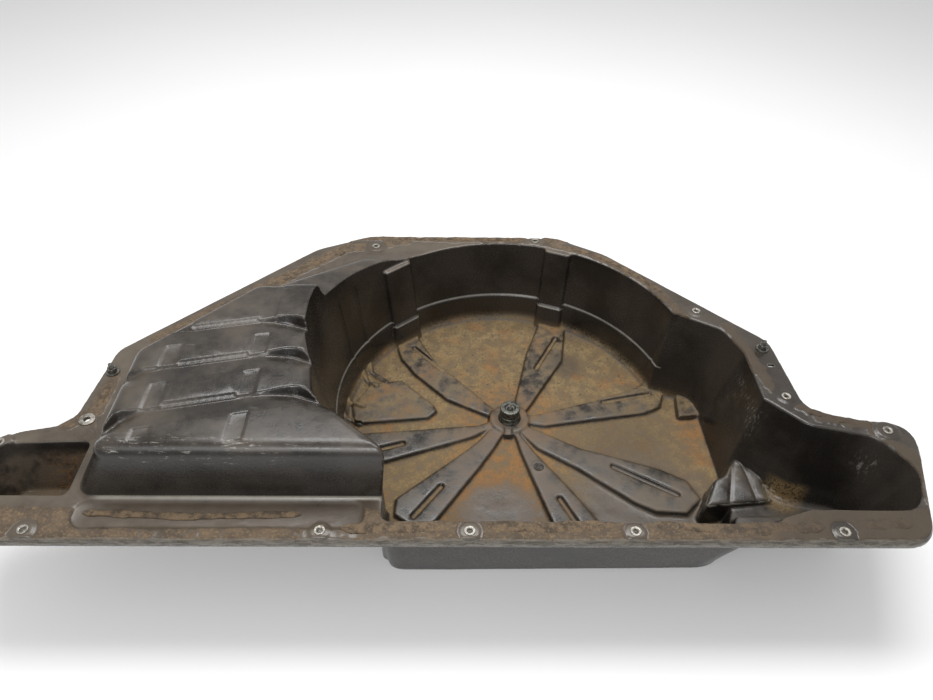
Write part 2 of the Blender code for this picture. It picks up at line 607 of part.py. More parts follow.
def make_post(parts):
    """Hold-down post on the hub, its threaded insert, and the washer and nut that hold it from below."""
    place = (HUB_CENTRE[0], HUB_CENTRE[1], 0)
    foot = HUB_TOP + CLEARANCE
    top = foot + POST_HEIGHT
    socket_floor = top - POST_SOCKET_DEPTH
    chamfer = 0.002
    profile = [(0, socket_floor), (POST_SOCKET_RADIUS, socket_floor), (POST_SOCKET_RADIUS, top - chamfer),
               (POST_SOCKET_RADIUS + chamfer, top), (POST_RADIUS - chamfer, top),
               (POST_RADIUS, top - chamfer), (POST_RADIUS, foot + 0.006), (POST_RADIUS + 0.003, foot),
               (SHANK_RADIUS, foot), (SHANK_RADIUS, SHANK_END), (0, SHANK_END)]
    turned("hold_down_post", profile, parts, "dark_steel", place, steps=32)

    insert = POST_SOCKET_RADIUS - CLEARANCE
    low = socket_floor + CLEARANCE
    high = top - 0.003
    sleeve = tube_profile(THREAD_RADIUS, insert, low, high)
    turned("post_thread_insert", sleeve, parts, "zinc_steel", place, 24, True)
    washer_top = HUB_TOP - WALL - CLEARANCE
    washer_low = washer_top - 0.002
    shank_clear = SHANK_RADIUS + CLEARANCE
    turned("post_washer", tube_profile(shank_clear, 0.022, washer_low, washer_top), parts, "zinc_steel",
           place, 32, True)
    nut_top = washer_low - CLEARANCE
    nut_bore = shank_clear / math.cos(math.radians(30))
    turned("post_nut", tube_profile(nut_bore, 0.0150, nut_top - 0.008, nut_top), parts, "zinc_steel",
           place, 6, True)


def tube_profile(inner, outer, low, high):
    """Closed profile of a plain ring, down its outer side first."""
    return [(outer, high), (outer, low), (inner, low), (inner, high)]


def make_sleeves(parts):
    """Flanged steel compression sleeves in the fixing holes."""
    for name, (x, y, boss) in SLEEVES.items():
        under = FLANGE_TOP + boss + CLEARANCE
        high = under + 0.0012
        low = FLANGE_TOP - WALL - 0.001
        profile = [(SLEEVE_HEAD, high), (SLEEVE_HEAD, under), (SLEEVE_HOLE, under), (SLEEVE_HOLE, low),
                   (SLEEVE_BORE, low), (SLEEVE_BORE, high)]
        turned(name, profile, parts, "zinc_steel", (x, y, 0), 16, True)


def make_studs(parts):
    """A locating stud with its nut on each shoulder of the flange."""
    for side, (x, y) in STUDS.items():
        foot = FLANGE_TOP + CLEARANCE
        collar = foot + 0.003
        end = FLANGE_TOP - 0.010
        profile = [(0, foot + STUD_HEIGHT), (STUD_RADIUS - 0.001, foot + STUD_HEIGHT),
                   (STUD_RADIUS, foot + STUD_HEIGHT - 0.001), (STUD_RADIUS, collar), (0.0115, collar),
                   (0.0120, foot), (STUD_RADIUS, foot), (STUD_RADIUS, end), (0, end)]
        turned(f"locating_stud_{side}", profile, parts, "dark_steel", (x, y, 0), 20)
        bore = (STUD_RADIUS + CLEARANCE) / math.cos(math.radians(30))
        low = collar + CLEARANCE
        turned(f"stud_nut_{side}", tube_profile(bore, 0.0088, low, low + 0.008), parts, "dark_steel",
               (x, y, 0), 6, True)


def make_washer_and_plug(parts):
    """The loose washer on the left shoulder and the blanking plug in spoke e."""
    low = FLANGE_TOP + CLEARANCE
    profile = tube_profile(WASHER_BORE, WASHER_RADIUS, low, low + 0.0016)
    turned("shoulder_washer", profile, parts, "zinc_steel", (*WASHER_PLACE, 0), 24, True)
    x, y = polar(*PLUG_PLACE)
    seat = SPOKE_TOP + CLEARANCE
    shank = PLUG_RADIUS - CLEARANCE
    profile = [(0, seat + 0.0016), (0.0090, seat + 0.0016), (0.0098, seat), (shank, seat),
               (shank, 0.003), (0, 0.003)]
    turned("blanking_plug", profile, parts, "rubber", (x, y, 0), 20)


def make_sealant(parts):
    """Strips of old sealant along the flange."""
    places = dict(SEALANT)
    sweep = [polar(angle, DIAGONAL_RADIUS) for angle in range(27, 68, 8)]
    places["sealant_right_diagonal"] = (0.014, sweep)
    low = FLANGE_TOP + CLEARANCE
    for name, (width, path) in places.items():
        points = [Vector(p) for p in path]
        left = []
        right = []
        for index, point in enumerate(points):
            before = points[max(index - 1, 0)]
            after = points[min(index + 1, len(points) - 1)]
            along = (after - before).normalized()
            across = Vector((-along.y, along.x)) * width / 2
            left.append(point + across)
            right.append(point - across)
        corners = [(p.x, p.y, width * 0.2) for p in right + left[::-1]]
        levels = [(low, corners), (low + SEALANT_HEIGHT, shift_corners(corners, width * 0.15))]
        loft(name, levels, parts, "sealant", steps=2)


def main():
    clear_scene()
    parts = make_collection("wheel_well_tub")
    tools = make_collection("cutters")
    make_tub(parts, tools)
    make_post(parts)
    make_sleeves(parts)
    make_studs(parts)
    make_washer_and_plug(parts)
    make_sealant(parts)


main()
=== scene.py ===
import math

import bpy
import numpy as np
from mathutils import Matrix, Vector


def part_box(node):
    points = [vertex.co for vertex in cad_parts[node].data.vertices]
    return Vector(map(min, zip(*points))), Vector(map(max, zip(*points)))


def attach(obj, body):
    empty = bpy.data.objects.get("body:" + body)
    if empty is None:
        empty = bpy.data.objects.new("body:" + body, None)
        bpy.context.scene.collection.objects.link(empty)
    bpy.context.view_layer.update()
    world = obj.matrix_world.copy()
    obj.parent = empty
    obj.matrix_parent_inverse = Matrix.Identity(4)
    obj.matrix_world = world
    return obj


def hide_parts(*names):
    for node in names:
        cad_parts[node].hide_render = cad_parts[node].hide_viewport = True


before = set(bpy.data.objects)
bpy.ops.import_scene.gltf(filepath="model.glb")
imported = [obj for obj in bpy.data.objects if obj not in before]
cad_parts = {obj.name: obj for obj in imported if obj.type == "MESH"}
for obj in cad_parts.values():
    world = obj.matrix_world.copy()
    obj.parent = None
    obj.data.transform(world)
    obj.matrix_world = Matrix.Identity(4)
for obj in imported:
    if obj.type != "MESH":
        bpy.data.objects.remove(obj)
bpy.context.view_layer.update()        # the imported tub, its sleeves, studs, post and sealant
print("frame loaded:", len(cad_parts), "nodes")


# selecting and applying

def deselectAll():
    if bpy.context.object and bpy.context.object.mode != "OBJECT":
        bpy.ops.object.mode_set(mode="OBJECT")
    bpy.ops.object.select_all(action="DESELECT")


def pick(obj):
    deselectAll()
    obj.select_set(True)
    bpy.context.view_layer.objects.active = obj


def applyModifiers(obj):
    pick(obj)
    for modifier in list(obj.modifiers):
        bpy.ops.object.modifier_apply(modifier=modifier.name)


def applyPlace(obj):
    pick(obj)
    bpy.ops.object.transform_apply(location=True, rotation=True, scale=True)


def fixNormals(obj):
    pick(obj)
    bpy.ops.object.mode_set(mode="EDIT")
    bpy.ops.mesh.select_all(action="SELECT")
    bpy.ops.mesh.remove_doubles(threshold=0.00001)
    bpy.ops.mesh.normals_make_consistent(inside=False)
    bpy.ops.object.mode_set(mode="OBJECT")


def joinOrCut(target, tools, how):
    # the solver for closed meshes, because the exact one leaves open edges on this many curved walls
    for tool in tools:
        cut = target.modifiers.new(tool.name, "BOOLEAN")
        cut.operation = how
        cut.object = tool
        cut.solver = "MANIFOLD"
        pick(target)
        bpy.ops.object.modifier_apply(modifier=cut.name)
    for tool in tools:
        bpy.data.objects.remove(tool, do_unlink=True)
    return target


# soft steps, noise and distances for arrays of points

def ease(value, low, high):
    t = np.clip((value - low) / (high - low), 0, 1)
    return t * t * (3 - 2 * t)


def lattice(cells, seed):
    h = cells[..., 0] * 374761393 + cells[..., 1] * 668265263 + cells[..., 2] * 2147483647 + seed * 974634777
    h = (h ^ (h >> 13)) * 1274126177
    return ((h ^ (h >> 16)) & 0xffff) / 65535.0


def cloud(points, size, seed=0, octaves=3):
    # smooth value noise from 0 to 1, with features of about the given size in metres
    total = np.zeros(len(points))
    weight = 0.0
    for octave in range(octaves):
        spot = points / size * 2 ** octave
        cell = np.floor(spot).astype(np.int64)
        f = spot - cell
        f = f * f * (3 - 2 * f)
        value = np.zeros(len(points))
        for dx in (0, 1):
            for dy in (0, 1):
                for dz in (0, 1):
                    corner = lattice(cell + np.array([dx, dy, dz]), seed + octave * 17)
                    share = np.abs(1 - dx - f[:, 0]) * np.abs(1 - dy - f[:, 1]) * np.abs(1 - dz - f[:, 2])
                    value += corner * share
        total += value * 0.5 ** octave
        weight += 0.5 ** octave
    return total / weight


def farFromLine(x, y, ends):
    # distance to a straight stretch, and how far along it the nearest place is
    (ax, ay), (bx, by) = ends
    dx, dy = bx - ax, by - ay
    t = np.clip(((x - ax) * dx + (y - ay) * dy) / (dx * dx + dy * dy), 0, 1)
    return np.hypot(x - ax - t * dx, y - ay - t * dy), t


def farFromPath(x, y, path):
    best = np.full(len(x), 9.0)
    for ends in zip(path, path[1:]):
        best = np.minimum(best, farFromLine(x, y, ends)[0])
    return best


def readPoints(obj):
    points = np.zeros(len(obj.data.vertices) * 3)
    obj.data.vertices.foreach_get("co", points)
    return points.reshape(-1, 3)


def writePoints(obj, points):
    obj.data.vertices.foreach_set("co", points.astype(np.float32).ravel())
    obj.data.update()


def readNormals(obj):
    normals = np.zeros(len(obj.data.vertices) * 3)
    obj.data.vertex_normals.foreach_get("vector", normals)
    return normals.reshape(-1, 3)


# outlines and solids

def roundedOutline(corners, steps):
    points = []
    count = len(corners)
    for index, (x, y, radius) in enumerate(corners):
        here = Vector((x, y))
        toLast = (Vector(corners[index - 1][:2]) - here).normalized()
        toNext = (Vector(corners[(index + 1) % count][:2]) - here).normalized()
        reach = radius / math.tan(toLast.angle(toNext) / 2)
        start, end = here + toLast * reach, here + toNext * reach
        for step in range(steps + 1):
            t = step / steps
            points.append(start.lerp(here, t).lerp(here.lerp(end, t), t))
    return points


def shifted(corners, inward):
    # the outline moved inward, its round corners kept about the same centres
    moved = []
    count = len(corners)
    for index, (x, y, radius) in enumerate(corners):
        here = Vector((x, y))
        fromLast = (here - Vector(corners[index - 1][:2])).normalized()
        toNext = (Vector(corners[(index + 1) % count][:2]) - here).normalized()
        bisector = Vector((-fromLast.y, fromLast.x)) + Vector((-toNext.y, toNext.x))
        push = bisector * inward * 2 / bisector.length_squared
        turnsLeft = fromLast.cross(toNext) > 0
        newRadius = radius - inward if turnsLeft else radius + inward
        moved.append((x + push.x, y + push.y, max(newRadius, 0.0015)))
    return moved


def solidFromRings(name, rings):
    # a disc is added and extruded once for each ring, then every ring is laid on its own outline
    deselectAll()
    bpy.ops.mesh.primitive_circle_add(vertices=len(rings[0]), radius=0.1, fill_type="NGON")
    obj = bpy.context.object
    obj.name = name
    bpy.ops.object.mode_set(mode="EDIT")
    for _ in rings[1:]:
        bpy.ops.mesh.extrude_region_move(TRANSFORM_OT_translate={"value": (0, 0, 0.01)})
    bpy.ops.object.mode_set(mode="OBJECT")
    writePoints(obj, np.array([point for ring in rings for point in ring]))
    bpy.ops.object.mode_set(mode="EDIT")
    bpy.ops.mesh.select_all(action="SELECT")
    bpy.ops.mesh.normals_make_consistent(inside=False)
    bpy.ops.object.mode_set(mode="OBJECT")
    return obj


def lofted(name, levels, steps=10):
    # tall stretches get rings between their ends, so that an inner and an outer wall twist alike
    ends = [[(p.x, p.y, z) for p in roundedOutline(corners, steps)] for z, corners in levels]
    rings = ends[:1]
    for low, high in zip(ends, ends[1:]):
        parts = max(1, math.ceil((high[0][2] - low[0][2]) / 0.012))
        for k in range(1, parts + 1):
            rings.append([Vector(a).lerp(Vector(b), k / parts) for a, b in zip(low, high)])
    return solidFromRings(name, rings)


def turned(name, profile, centre=(0, 0), steps=48):
    # profile is (radius, height) from the bottom cap to the top cap
    rings = []
    for radius, z in profile:
        turns = [2 * math.pi * i / steps for i in range(steps)]
        rings.append([(centre[0] + radius * math.cos(a), centre[1] + radius * math.sin(a), z)
                      for a in turns])
    return solidFromRings(name, rings)


def postTool(name, place, radius, low, high, steps=32):
    deselectAll()
    middle = (place[0], place[1], (low + high) / 2)
    bpy.ops.mesh.primitive_cylinder_add(vertices=steps, radius=radius, depth=high - low, location=middle)
    bpy.context.object.name = name
    applyPlace(bpy.context.object)
    return bpy.context.object


# the moulding

mould = {
    "flangeTop": 0.200, "skin": 0.0055, "lipDepth": 0.016, "lipSkin": 0.0055, "ledge": 0.0035,
    "centre": (0.100, 0.019), "hub": (0.111, 0.015), "rim": 0.349, "step": 0.331, "stepDepth": 0.126,
         "floor": 0.326,
    "floorTop": 0.0055, "spokeTop": 0.016, "hubTop": 0.020, "hubRadius": 0.040,
    "platformTop": 0.100, "plateauTop": 0.066, "edgeRound": 0.024,
    "pocketDepth": 0.090, "bayDepth": 0.160, "pilasterDepth": 0.012,
    "voxel": 0.0024, "faces": 190000,
}
flangeTop = mould["flangeTop"]
cx, cy = mould["centre"]
hubX, hubY = mould["hub"]

outlines = {      # corners as x, y, radius, counterclockwise
    "flange": [(-0.720, -0.395, 0.055), (0.712, -0.395, 0.055), (0.790, -0.150, 0.055),
               (0.700, -0.149, 0.060), (0.612, -0.125, 0.045), (0.600, 0.052, 0.060),
               (0.325, 0.335, 0.120), (0.225, 0.395, 0.080), (-0.190, 0.395, 0.090),
               (-0.300, 0.345, 0.090), (-0.622, 0.015, 0.050), (-0.640, -0.165, 0.040),
               (-0.715, -0.182, 0.070), (-0.784, -0.225, 0.055)],
    "bayRim": [(-0.113, -0.358, 0.014), (0.500, -0.363, 0.040), (0.542, -0.200, 0.040),
               (0.541, 0.020, 0.050), (0.515, 0.085, 0.040), (0.430, 0.135, 0.050), (0.100, 0.135, 0.020)],
    "bayFloor": [(-0.116, -0.320, 0.022), (0.448, -0.314, 0.060), (0.505, -0.180, 0.040),
                 (0.502, 0.020, 0.050), (0.488, 0.072, 0.040), (0.400, 0.105, 0.050), (0.100, 0.105, 0.020)],
    "pocketRim": [(0.470, -0.362, 0.020), (0.545, -0.337, 0.030), (0.715, -0.337, 0.050),
                  (0.748, -0.262, 0.050), (0.705, -0.188, 0.045), (0.600, -0.163, 0.045),
                  (0.546, -0.105, 0.040), (0.470, -0.060, 0.010)],
    "pocketFloor": [(0.430, -0.285, 0.020), (0.540, -0.290, 0.030), (0.680, -0.290, 0.040),
                    (0.705, -0.255, 0.040), (0.672, -0.218, 0.040), (0.585, -0.195, 0.040),
                    (0.505, -0.115, 0.040), (0.430, -0.060, 0.010)],
    "leftRim": [(-0.748, -0.314, 0.035), (-0.590, -0.314, 0.012), (-0.590, -0.205, 0.012),
                (-0.735, -0.211, 0.040)],
    "leftFloor": [(-0.738, -0.304, 0.030), (-0.596, -0.304, 0.012), (-0.596, -0.232, 0.012),
                  (-0.715, -0.236, 0.030)],
    "platformFoot": [(-0.576, -0.318, 0.035), (-0.050, -0.318, 0.010), (-0.050, 0.135, 0.010),
                     (-0.290, 0.140, 0.050), (-0.400, 0.140, 0.050), (-0.578, -0.045, 0.050)],
    "platformEdge": [(-0.532, -0.308, 0.022), (-0.050, -0.308, 0.010), (-0.050, 0.095, 0.010),
                     (-0.290, 0.100, 0.030), (-0.365, 0.092, 0.030), (-0.530, -0.088, 0.030)],
    "plateauFoot": [(-0.430, 0.060, 0.020), (-0.050, 0.060, 0.010), (-0.050, 0.330, 0.020),
                    (-0.200, 0.318, 0.070), (-0.370, 0.170, 0.060)],
    "plateauEdge": [(-0.400, 0.070, 0.020), (-0.050, 0.070, 0.010), (-0.050, 0.300, 0.020),
                    (-0.190, 0.280, 0.050), (-0.335, 0.140, 0.050)],
    "shoulderFloor": [(-0.116, -0.302, 0.010), (0.050, -0.302, 0.010), (0.050, -0.060, 0.010),
                      (-0.195, -0.060, 0.020), (-0.185, -0.120, 0.060), (-0.122, -0.200, 0.030)],
    "shoulderRim": [(-0.108, -0.357, 0.010), (0.050, -0.357, 0.010), (0.050, -0.060, 0.010),
                    (-0.236, -0.060, 0.010), (-0.216, -0.160, 0.060), (-0.112, -0.285, 0.030)],
    "shoulderEdge": [(-0.096, -0.420, 0.008), (0.050, -0.420, 0.010), (0.050, -0.060, 0.010),
                     (-0.244, -0.060, 0.010), (-0.222, -0.185, 0.050), (-0.104, -0.292, 0.030)],
    "cornerPad": [(0.452, 0.019, 0.006), (0.530, 0.027, 0.006), (0.530, 0.110, 0.010),
                  (0.462, 0.104, 0.006)],
    "block": [(0.430, -0.230, 0.010), (0.575, -0.215, 0.010), (0.555, -0.110, 0.020), (0.518, -0.104, 0.020),
              (0.488, -0.150, 0.020), (0.468, -0.158, 0.015)],
    "smallBlock": [(0.455, -0.300, 0.010), (0.600, -0.300, 0.010), (0.570, -0.238, 0.015),
                   (0.484, -0.240, 0.015)],
}
plateauFall = ((-0.240, 0.110), (-0.100, 0.310), 0.12)     # full height, lowest place, share left there

floorParts = {      # angle in degrees and radius about the well, counterclockwise
    "spokes": {
        "a": [(118, 0.030), (129.4, 0.223), (126.5, 0.290), (125, 0.323), (136.5, 0.323), (142, 0.279),
              (146.6, 0.227), (157.8, 0.128), (180, 0.030)],
        "b": [(10, 0.040), (22.3, 0.057), (50.8, 0.220), (59.8, 0.305), (61, 0.323), (73, 0.323),
              (74.3, 0.204),
              (62, 0.040)],
        "c": [(330, 0.030), (343, 0.086), (2.3, 0.290), (5.5, 0.330), (12, 0.350), (20, 0.330),
              (18.5, 0.300),
              (16.4, 0.215), (12, 0.063), (40, 0.030)],
        "d": [(300, 0.030), (305.7, 0.101), (315.2, 0.186), (317.4, 0.311), (319, 0.352), (324, 0.400),
              (331, 0.412), (336, 0.372), (337, 0.318), (333.5, 0.165), (338, 0.075), (350, 0.030)],
        "e": [(270, 0.030), (288.4, 0.054), (285.5, 0.101), (286, 0.322), (303, 0.322), (304.5, 0.229),
              (305.2, 0.102), (313, 0.040)],
        "f": [(215, 0.030), (226, 0.082), (225, 0.139), (223, 0.289), (228, 0.318), (239, 0.320),
              (242.8, 0.283),
              (250.2, 0.133), (256.7, 0.086), (275, 0.040)],
        "g": [(180, 0.020), (196, 0.056), (187.5, 0.300), (188, 0.320), (203, 0.320), (207, 0.258),
              (214, 0.128),
              (221, 0.083), (235, 0.035)],
    },
    "slots": {"a": (132, 0.180, 0.290), "b": (62.5, 0.160, 0.285), "c": (13, 0.208, 0.325),
              "d": (329, 0.231, 0.372), "e": (295.5, 0.213, 0.285), "f": (234, 0.205, 0.300),
              "g": (198.5, 0.205, 0.290)},
    "slotWidth": 0.013, "slotDepth": 0.0075,
    "pad": [(152, 0.239), (160, 0.296), (174, 0.316), (184, 0.304), (181.5, 0.150), (172, 0.132),
            (164, 0.146)],
    "pilasters": {"a": (130.5, 0.062), "b": (69.0, 0.052)},
}


bands = {      # the four bands across the platform and the steps between them
    "turn": math.radians(12.5), "steps": (-0.1225, -0.0310, 0.0560), "fold": 0.037,
    "drop": 0.0055, "endDrop": 0.017, "stepWidth": 0.003, "rightEnd": (-0.345, -0.262),
         "leftEnd": (-0.510, -0.560),
    "bendRight": 0.034, "bendLeft": 0.030,
    "strips": ((-0.478, -0.450), (-0.338, -0.312)), "stripDepth": 0.0018, "ledge": 0.0060,
         "ledgeDrop": 0.0024,
}


def polar(angle, radius):
    turn = math.radians(angle)
    return cx + radius * math.cos(turn), cy + radius * math.sin(turn)


def wellSolid(name, extra, top):
    floorZ = mould["floorTop"] - extra if extra == 0 else 0.0
    floorR, rimR = mould["floor"] + extra, mould["rim"] + extra
    profile = []
    for k in range(7):      # rounded foot of the wall
        turn = math.radians(90 * k / 6)
        profile.append((floorR - 0.026 + 0.024 * math.sin(turn), floorZ + 0.024 * (1 - math.cos(turn))))
    profile += [(floorR, flangeTop - mould["stepDepth"] - 0.003),
                (mould["step"] + extra, flangeTop - mould["stepDepth"] + 0.002), (rimR, flangeTop - 0.002)]
    if top > flangeTop:
        profile += [(rimR + 0.012, flangeTop + 0.095), (rimR + 0.020, top)]
    else:
        profile[-1] = (rimR, top)
    return turned(name, profile, mould["centre"], steps=200)


def pocketSolid(name, rim, foot, depth, extra, top):
    low = max(flangeTop - depth - extra, 0.0)
    edge = shifted(foot, -extra)
    levels = []
    for k in range(5):
        turn = math.radians(90 * k / 4)
        levels.append((low + 0.016 * (1 - math.cos(turn)), shifted(edge, 0.014 * (1 - math.sin(turn)))))
    levels.append((min(top, flangeTop), shifted(rim, -extra)))
    if top > flangeTop:
        levels.append((top, shifted(rim, -extra - 0.001)))
    return lofted(name, levels)


def moundSolid(name, foot, edge, height, inset, low):
    # its top edge is a wide round
    top = flangeTop + height - inset
    highlightLines, edgeLine = shifted(foot, inset), shifted(edge, inset)
    levels = [(low, highlightLines), (flangeTop, highlightLines)]
    soft = mould["edgeRound"]
    for k in range(8):
        turn = math.radians(90 * k / 7)
        levels.append((top - soft * (1 - math.sin(turn)),
                       shifted(edgeLine, soft * (1 - math.cos(turn)) * 0.95)))
    return lofted(name, levels)


def shoulderSolid(name, extra, above=True):
    edge = shifted(outlines["shoulderEdge"], -extra)
    top = flangeTop + mould["platformTop"]
    low = mould["floorTop"] if extra == 0 else 0.0
    levels = [(low, shifted(outlines["shoulderFloor"], 0.010 - extra)),
              (low + 0.012, shifted(outlines["shoulderFloor"], -extra)),
              (flangeTop - 0.003, shifted(outlines["shoulderRim"], -extra))]
    if above:
        for k in range(5):
            turn = math.radians(90 * k / 4)
            spread = -0.018 * (1 - math.cos(turn))
            levels.append((top - 0.022 + 0.0225 * math.sin(turn), shifted(edge, spread)))
        levels.append((top + 0.030, shifted(edge, -0.018)))
    return lofted(name, levels)


def letFall(obj, start, end, share, inset):
    # the mound loses height along a line
    points = readPoints(obj)
    line = np.array(end) - np.array(start)
    along = np.clip(((points[:, :2] - np.array(start)) @ line) / (line @ line), 0, 1)
    factor = 1 - (1 - share) * along
    high = points[:, 2] > flangeTop
    lowered = flangeTop + (points[:, 2] + inset - flangeTop) * factor - inset
    points[:, 2] = np.where(high, lowered, points[:, 2])
    writePoints(obj, points)
    return obj


def slopedPad(name, corners, high, draft):
    low = mould["floorTop"] - 0.002
    levels = [(low, corners), (high - 0.003, shifted(corners, draft * 0.8)), (high, shifted(corners, draft))]
    return lofted(name, levels, steps=5)


def pilasterSolid(name, angle, width):
    # a flat upright band that leans with the wall and has its own crease, lower than the wall's
    turn = math.radians(angle)
    outward, across = Vector((math.cos(turn), math.sin(turn))), Vector((-math.sin(turn), math.cos(turn)))
    levels = []
    creaseZ = flangeTop - mould["stepDepth"] - 0.010
    heights = [(mould["floorTop"] - 0.001, mould["floor"] - 0.008), (creaseZ, mould["floor"] - 0.001),
               (creaseZ + 0.005, mould["step"]), (flangeTop - 0.001, mould["rim"])]
    for z, radius in heights:
        inner = Vector(mould["centre"]) + outward * (radius - mould["pilasterDepth"])
        outer = Vector(mould["centre"]) + outward * (radius + 0.002)
        ends = [inner - across * width / 2, inner + across * width / 2,
                outer + across * (width / 2 + 0.006), outer - across * (width / 2 + 0.006)]
        levels.append((z, [(p.x, p.y, 0.004) for p in reversed(ends)]))
    return lofted(name, levels, steps=3)


def buildBlank():
    low = flangeTop - mould["lipDepth"]
    ledgeIn = mould["ledge"]
    flangeLine = outlines["flange"]
    tub = lofted("tubMoulding", [(low, shifted(flangeLine, 0.0008)), (low + 0.0015, flangeLine),
                                 (flangeTop - 0.006, flangeLine),
                                 (flangeTop - 0.0052, shifted(flangeLine, ledgeIn)),
                                 (flangeTop, shifted(flangeLine, ledgeIn + 0.0008))])
    hollow = shifted(flangeLine, mould["lipSkin"] + 0.001)
    skin = mould["skin"]
    joinOrCut(tub, [lofted("flangeHollow", [(low - 0.01, hollow), (flangeTop - skin, hollow)])],
              "DIFFERENCE")
    outer = wellSolid("wellOuter", skin, flangeTop - 0.001)
    shells = [("bay", flangeTop, "bayRim", "bayFloor"), ("pocket", mould["bayDepth"], "pocketRim",
                                                         "pocketFloor"),
              ("left", mould["pocketDepth"], "leftRim", "leftFloor")]
    for index, (name, depth, rim, foot) in enumerate(shells):
        top = flangeTop - 0.0015 - index * 0.0005
        if name == "bay":
            depth = flangeTop - mould["floorTop"]
        joinOrCut(outer, [pocketSolid(name + "Outer", outlines[rim], outlines[foot], depth, skin, top)],
                  "UNION")
    joinOrCut(outer, [shoulderSolid("shoulderOuter", skin, above=False)], "UNION")

    def platform(suffix, inset, base):
        body = moundSolid("platform" + suffix, outlines["platformFoot"], outlines["platformEdge"],
                          mould["platformTop"], inset, base)
        back = moundSolid("plateau" + suffix, outlines["plateauFoot"], outlines["plateauEdge"],
                          mould["plateauTop"], inset, base + 0.0005)
        return joinOrCut(body, [letFall(back, *plateauFall, inset)], "UNION")

    def inside(extra):
        above = flangeTop + 0.01
        tools = [wellSolid("well", extra, flangeTop + mould["platformTop"] + 0.030),
                 shoulderSolid("shoulder", extra)]
        for name, depth, rim, foot in shells:
            if name == "bay":
                depth = flangeTop - mould["floorTop"]
            tools.append(pocketSolid(name, outlines[rim], outlines[foot], depth, extra, above))
        return tools

    outerCopy = outer.copy()
    outerCopy.data = outer.data.copy()
    bpy.context.scene.collection.objects.link(outerCopy)
    joinOrCut(tub, [platform("Outer", 0, flangeTop - 0.004), outerCopy], "UNION")
    under = platform("Under", skin, -0.02)
    joinOrCut(under, inside(skin), "DIFFERENCE")
    joinOrCut(under, stepCutters(skin), "DIFFERENCE")
    joinOrCut(tub, [under], "DIFFERENCE")
    joinOrCut(tub, inside(0), "DIFFERENCE")
    raised = []
    for key, places in floorParts["spokes"].items():
        corners = [polar(angle, radius) + (0.008,) for angle, radius in places]
        raised.append(slopedPad("spoke_" + key, corners, mould["spokeTop"], 0.006))
    corners = [polar(angle, radius) + (0.012,) for angle, radius in floorParts["pad"]]
    raised.append(slopedPad("floorPad", corners, mould["spokeTop"], 0.006))
    raised.append(turned("hub", [(mould["hubRadius"] + 0.004, 0.003),
                                 (mould["hubRadius"], mould["hubTop"] - 0.002),
                                 (mould["hubRadius"] - 0.003, mould["hubTop"])], mould["hub"]))
    for key, (angle, width) in floorParts["pilasters"].items():
        raised.append(pilasterSolid("pilaster_" + key, angle, width))
    raised.append(slopedPad("cornerPad", outlines["cornerPad"], mould["floorTop"] + 0.014, 0.004))
    raised.append(slopedPad("block", outlines["block"], mould["floorTop"] + 0.056, 0.012))
    raised.append(slopedPad("smallBlock", outlines["smallBlock"], mould["floorTop"] + 0.055, 0.010))
    for tool in raised:
        keeper = outer.copy()
        keeper.data = outer.data.copy()
        bpy.context.scene.collection.objects.link(keeper)
        joinOrCut(tool, [keeper], "INTERSECT")
    bpy.data.objects.remove(outer, do_unlink=True)
    joinOrCut(tub, raised, "UNION")
    slots = []
    for key, (angle, near, far) in floorParts["slots"].items():
        half = floorParts["slotWidth"] / 2
        turn = math.radians(angle)
        across = Vector((-math.sin(turn), math.cos(turn))) * half
        start, end = Vector(polar(angle, near)), Vector(polar(angle, far))
        corners = [(p.x, p.y, half * 0.9) for p in (start - across, end - across, end + across,
                                                    start + across)]
        base = mould["spokeTop"] - floorParts["slotDepth"]
        slots.append(lofted("slot_" + key, [(base, shifted(corners, 0.002)),
                                            (mould["spokeTop"] + 0.01, corners)], 5))
    slots += stepCutters(0)
    slots.append(turned("hubRecess", [(0.032, -0.01), (0.032, mould["hubTop"] - 0.0045)], mould["hub"], 32))
    joinOrCut(tub, slots, "DIFFERENCE")
    return tub


def stepCutters(lower):
    # each band ends in a step, low in the middle and tall at both ends, which bends towards the front
    turn = bands["turn"]
    tools = []
    top = flangeTop + mould["platformTop"] - lower
    for index, place in enumerate(bands["steps"]):
        rings = []
        for k in range(41):
            u = -0.600 + 0.400 * k / 40
            tall = max(soften(u, *bands["rightEnd"]), soften(-u, -bands["leftEnd"][0], -bands["leftEnd"][1]))
            bend = bands["bendRight"] * soften(u, -0.310, -0.222) ** 1.5
            bend += bands["bendLeft"] * soften(-u, 0.535, 0.590) ** 1.5
            drop = bands["drop"] + bands["endDrop"] * tall
            edge = place - bend
            wide = bands["stepWidth"] + 0.006 * tall
            sill = bands["fold"]
            start, foot, end = edge - sill - lower, edge + lower, edge + wide + lower
            section = [(start, 0.02), (start, 0.0), ((start + foot) / 2, -drop * 0.42), (foot, -drop),
                       (end, 0.0),
                       (end, 0.02)]
            rings.append([(u * math.cos(turn) - v * math.sin(turn), u * math.sin(turn) + v * math.cos(turn),
                           top + z)
                          for v, z in section])
        tools.append(solidFromRings(f"step_{index}", rings))
    return tools


def soften(value, low, high):
    t = min(max((value - low) / (high - low), 0), 1)
    return t * t * (3 - 2 * t)


def remeshTub(tub):
    cells = tub.modifiers.new("cells", "REMESH")
    cells.mode = "VOXEL"
    cells.voxel_size = mould["voxel"]
    cells.use_smooth_shade = True
    smoothing = tub.modifiers.new("soften", "SMOOTH")
    smoothing.factor = 0.5
    smoothing.iterations = 5
    applyModifiers(tub)


tubMoulding = buildBlank()
print("moulding blank:", len(tubMoulding.data.polygons), "faces")
remeshTub(tubMoulding)
print("moulding cells:", len(tubMoulding.data.vertices), "points")


# pressed details of the moulding

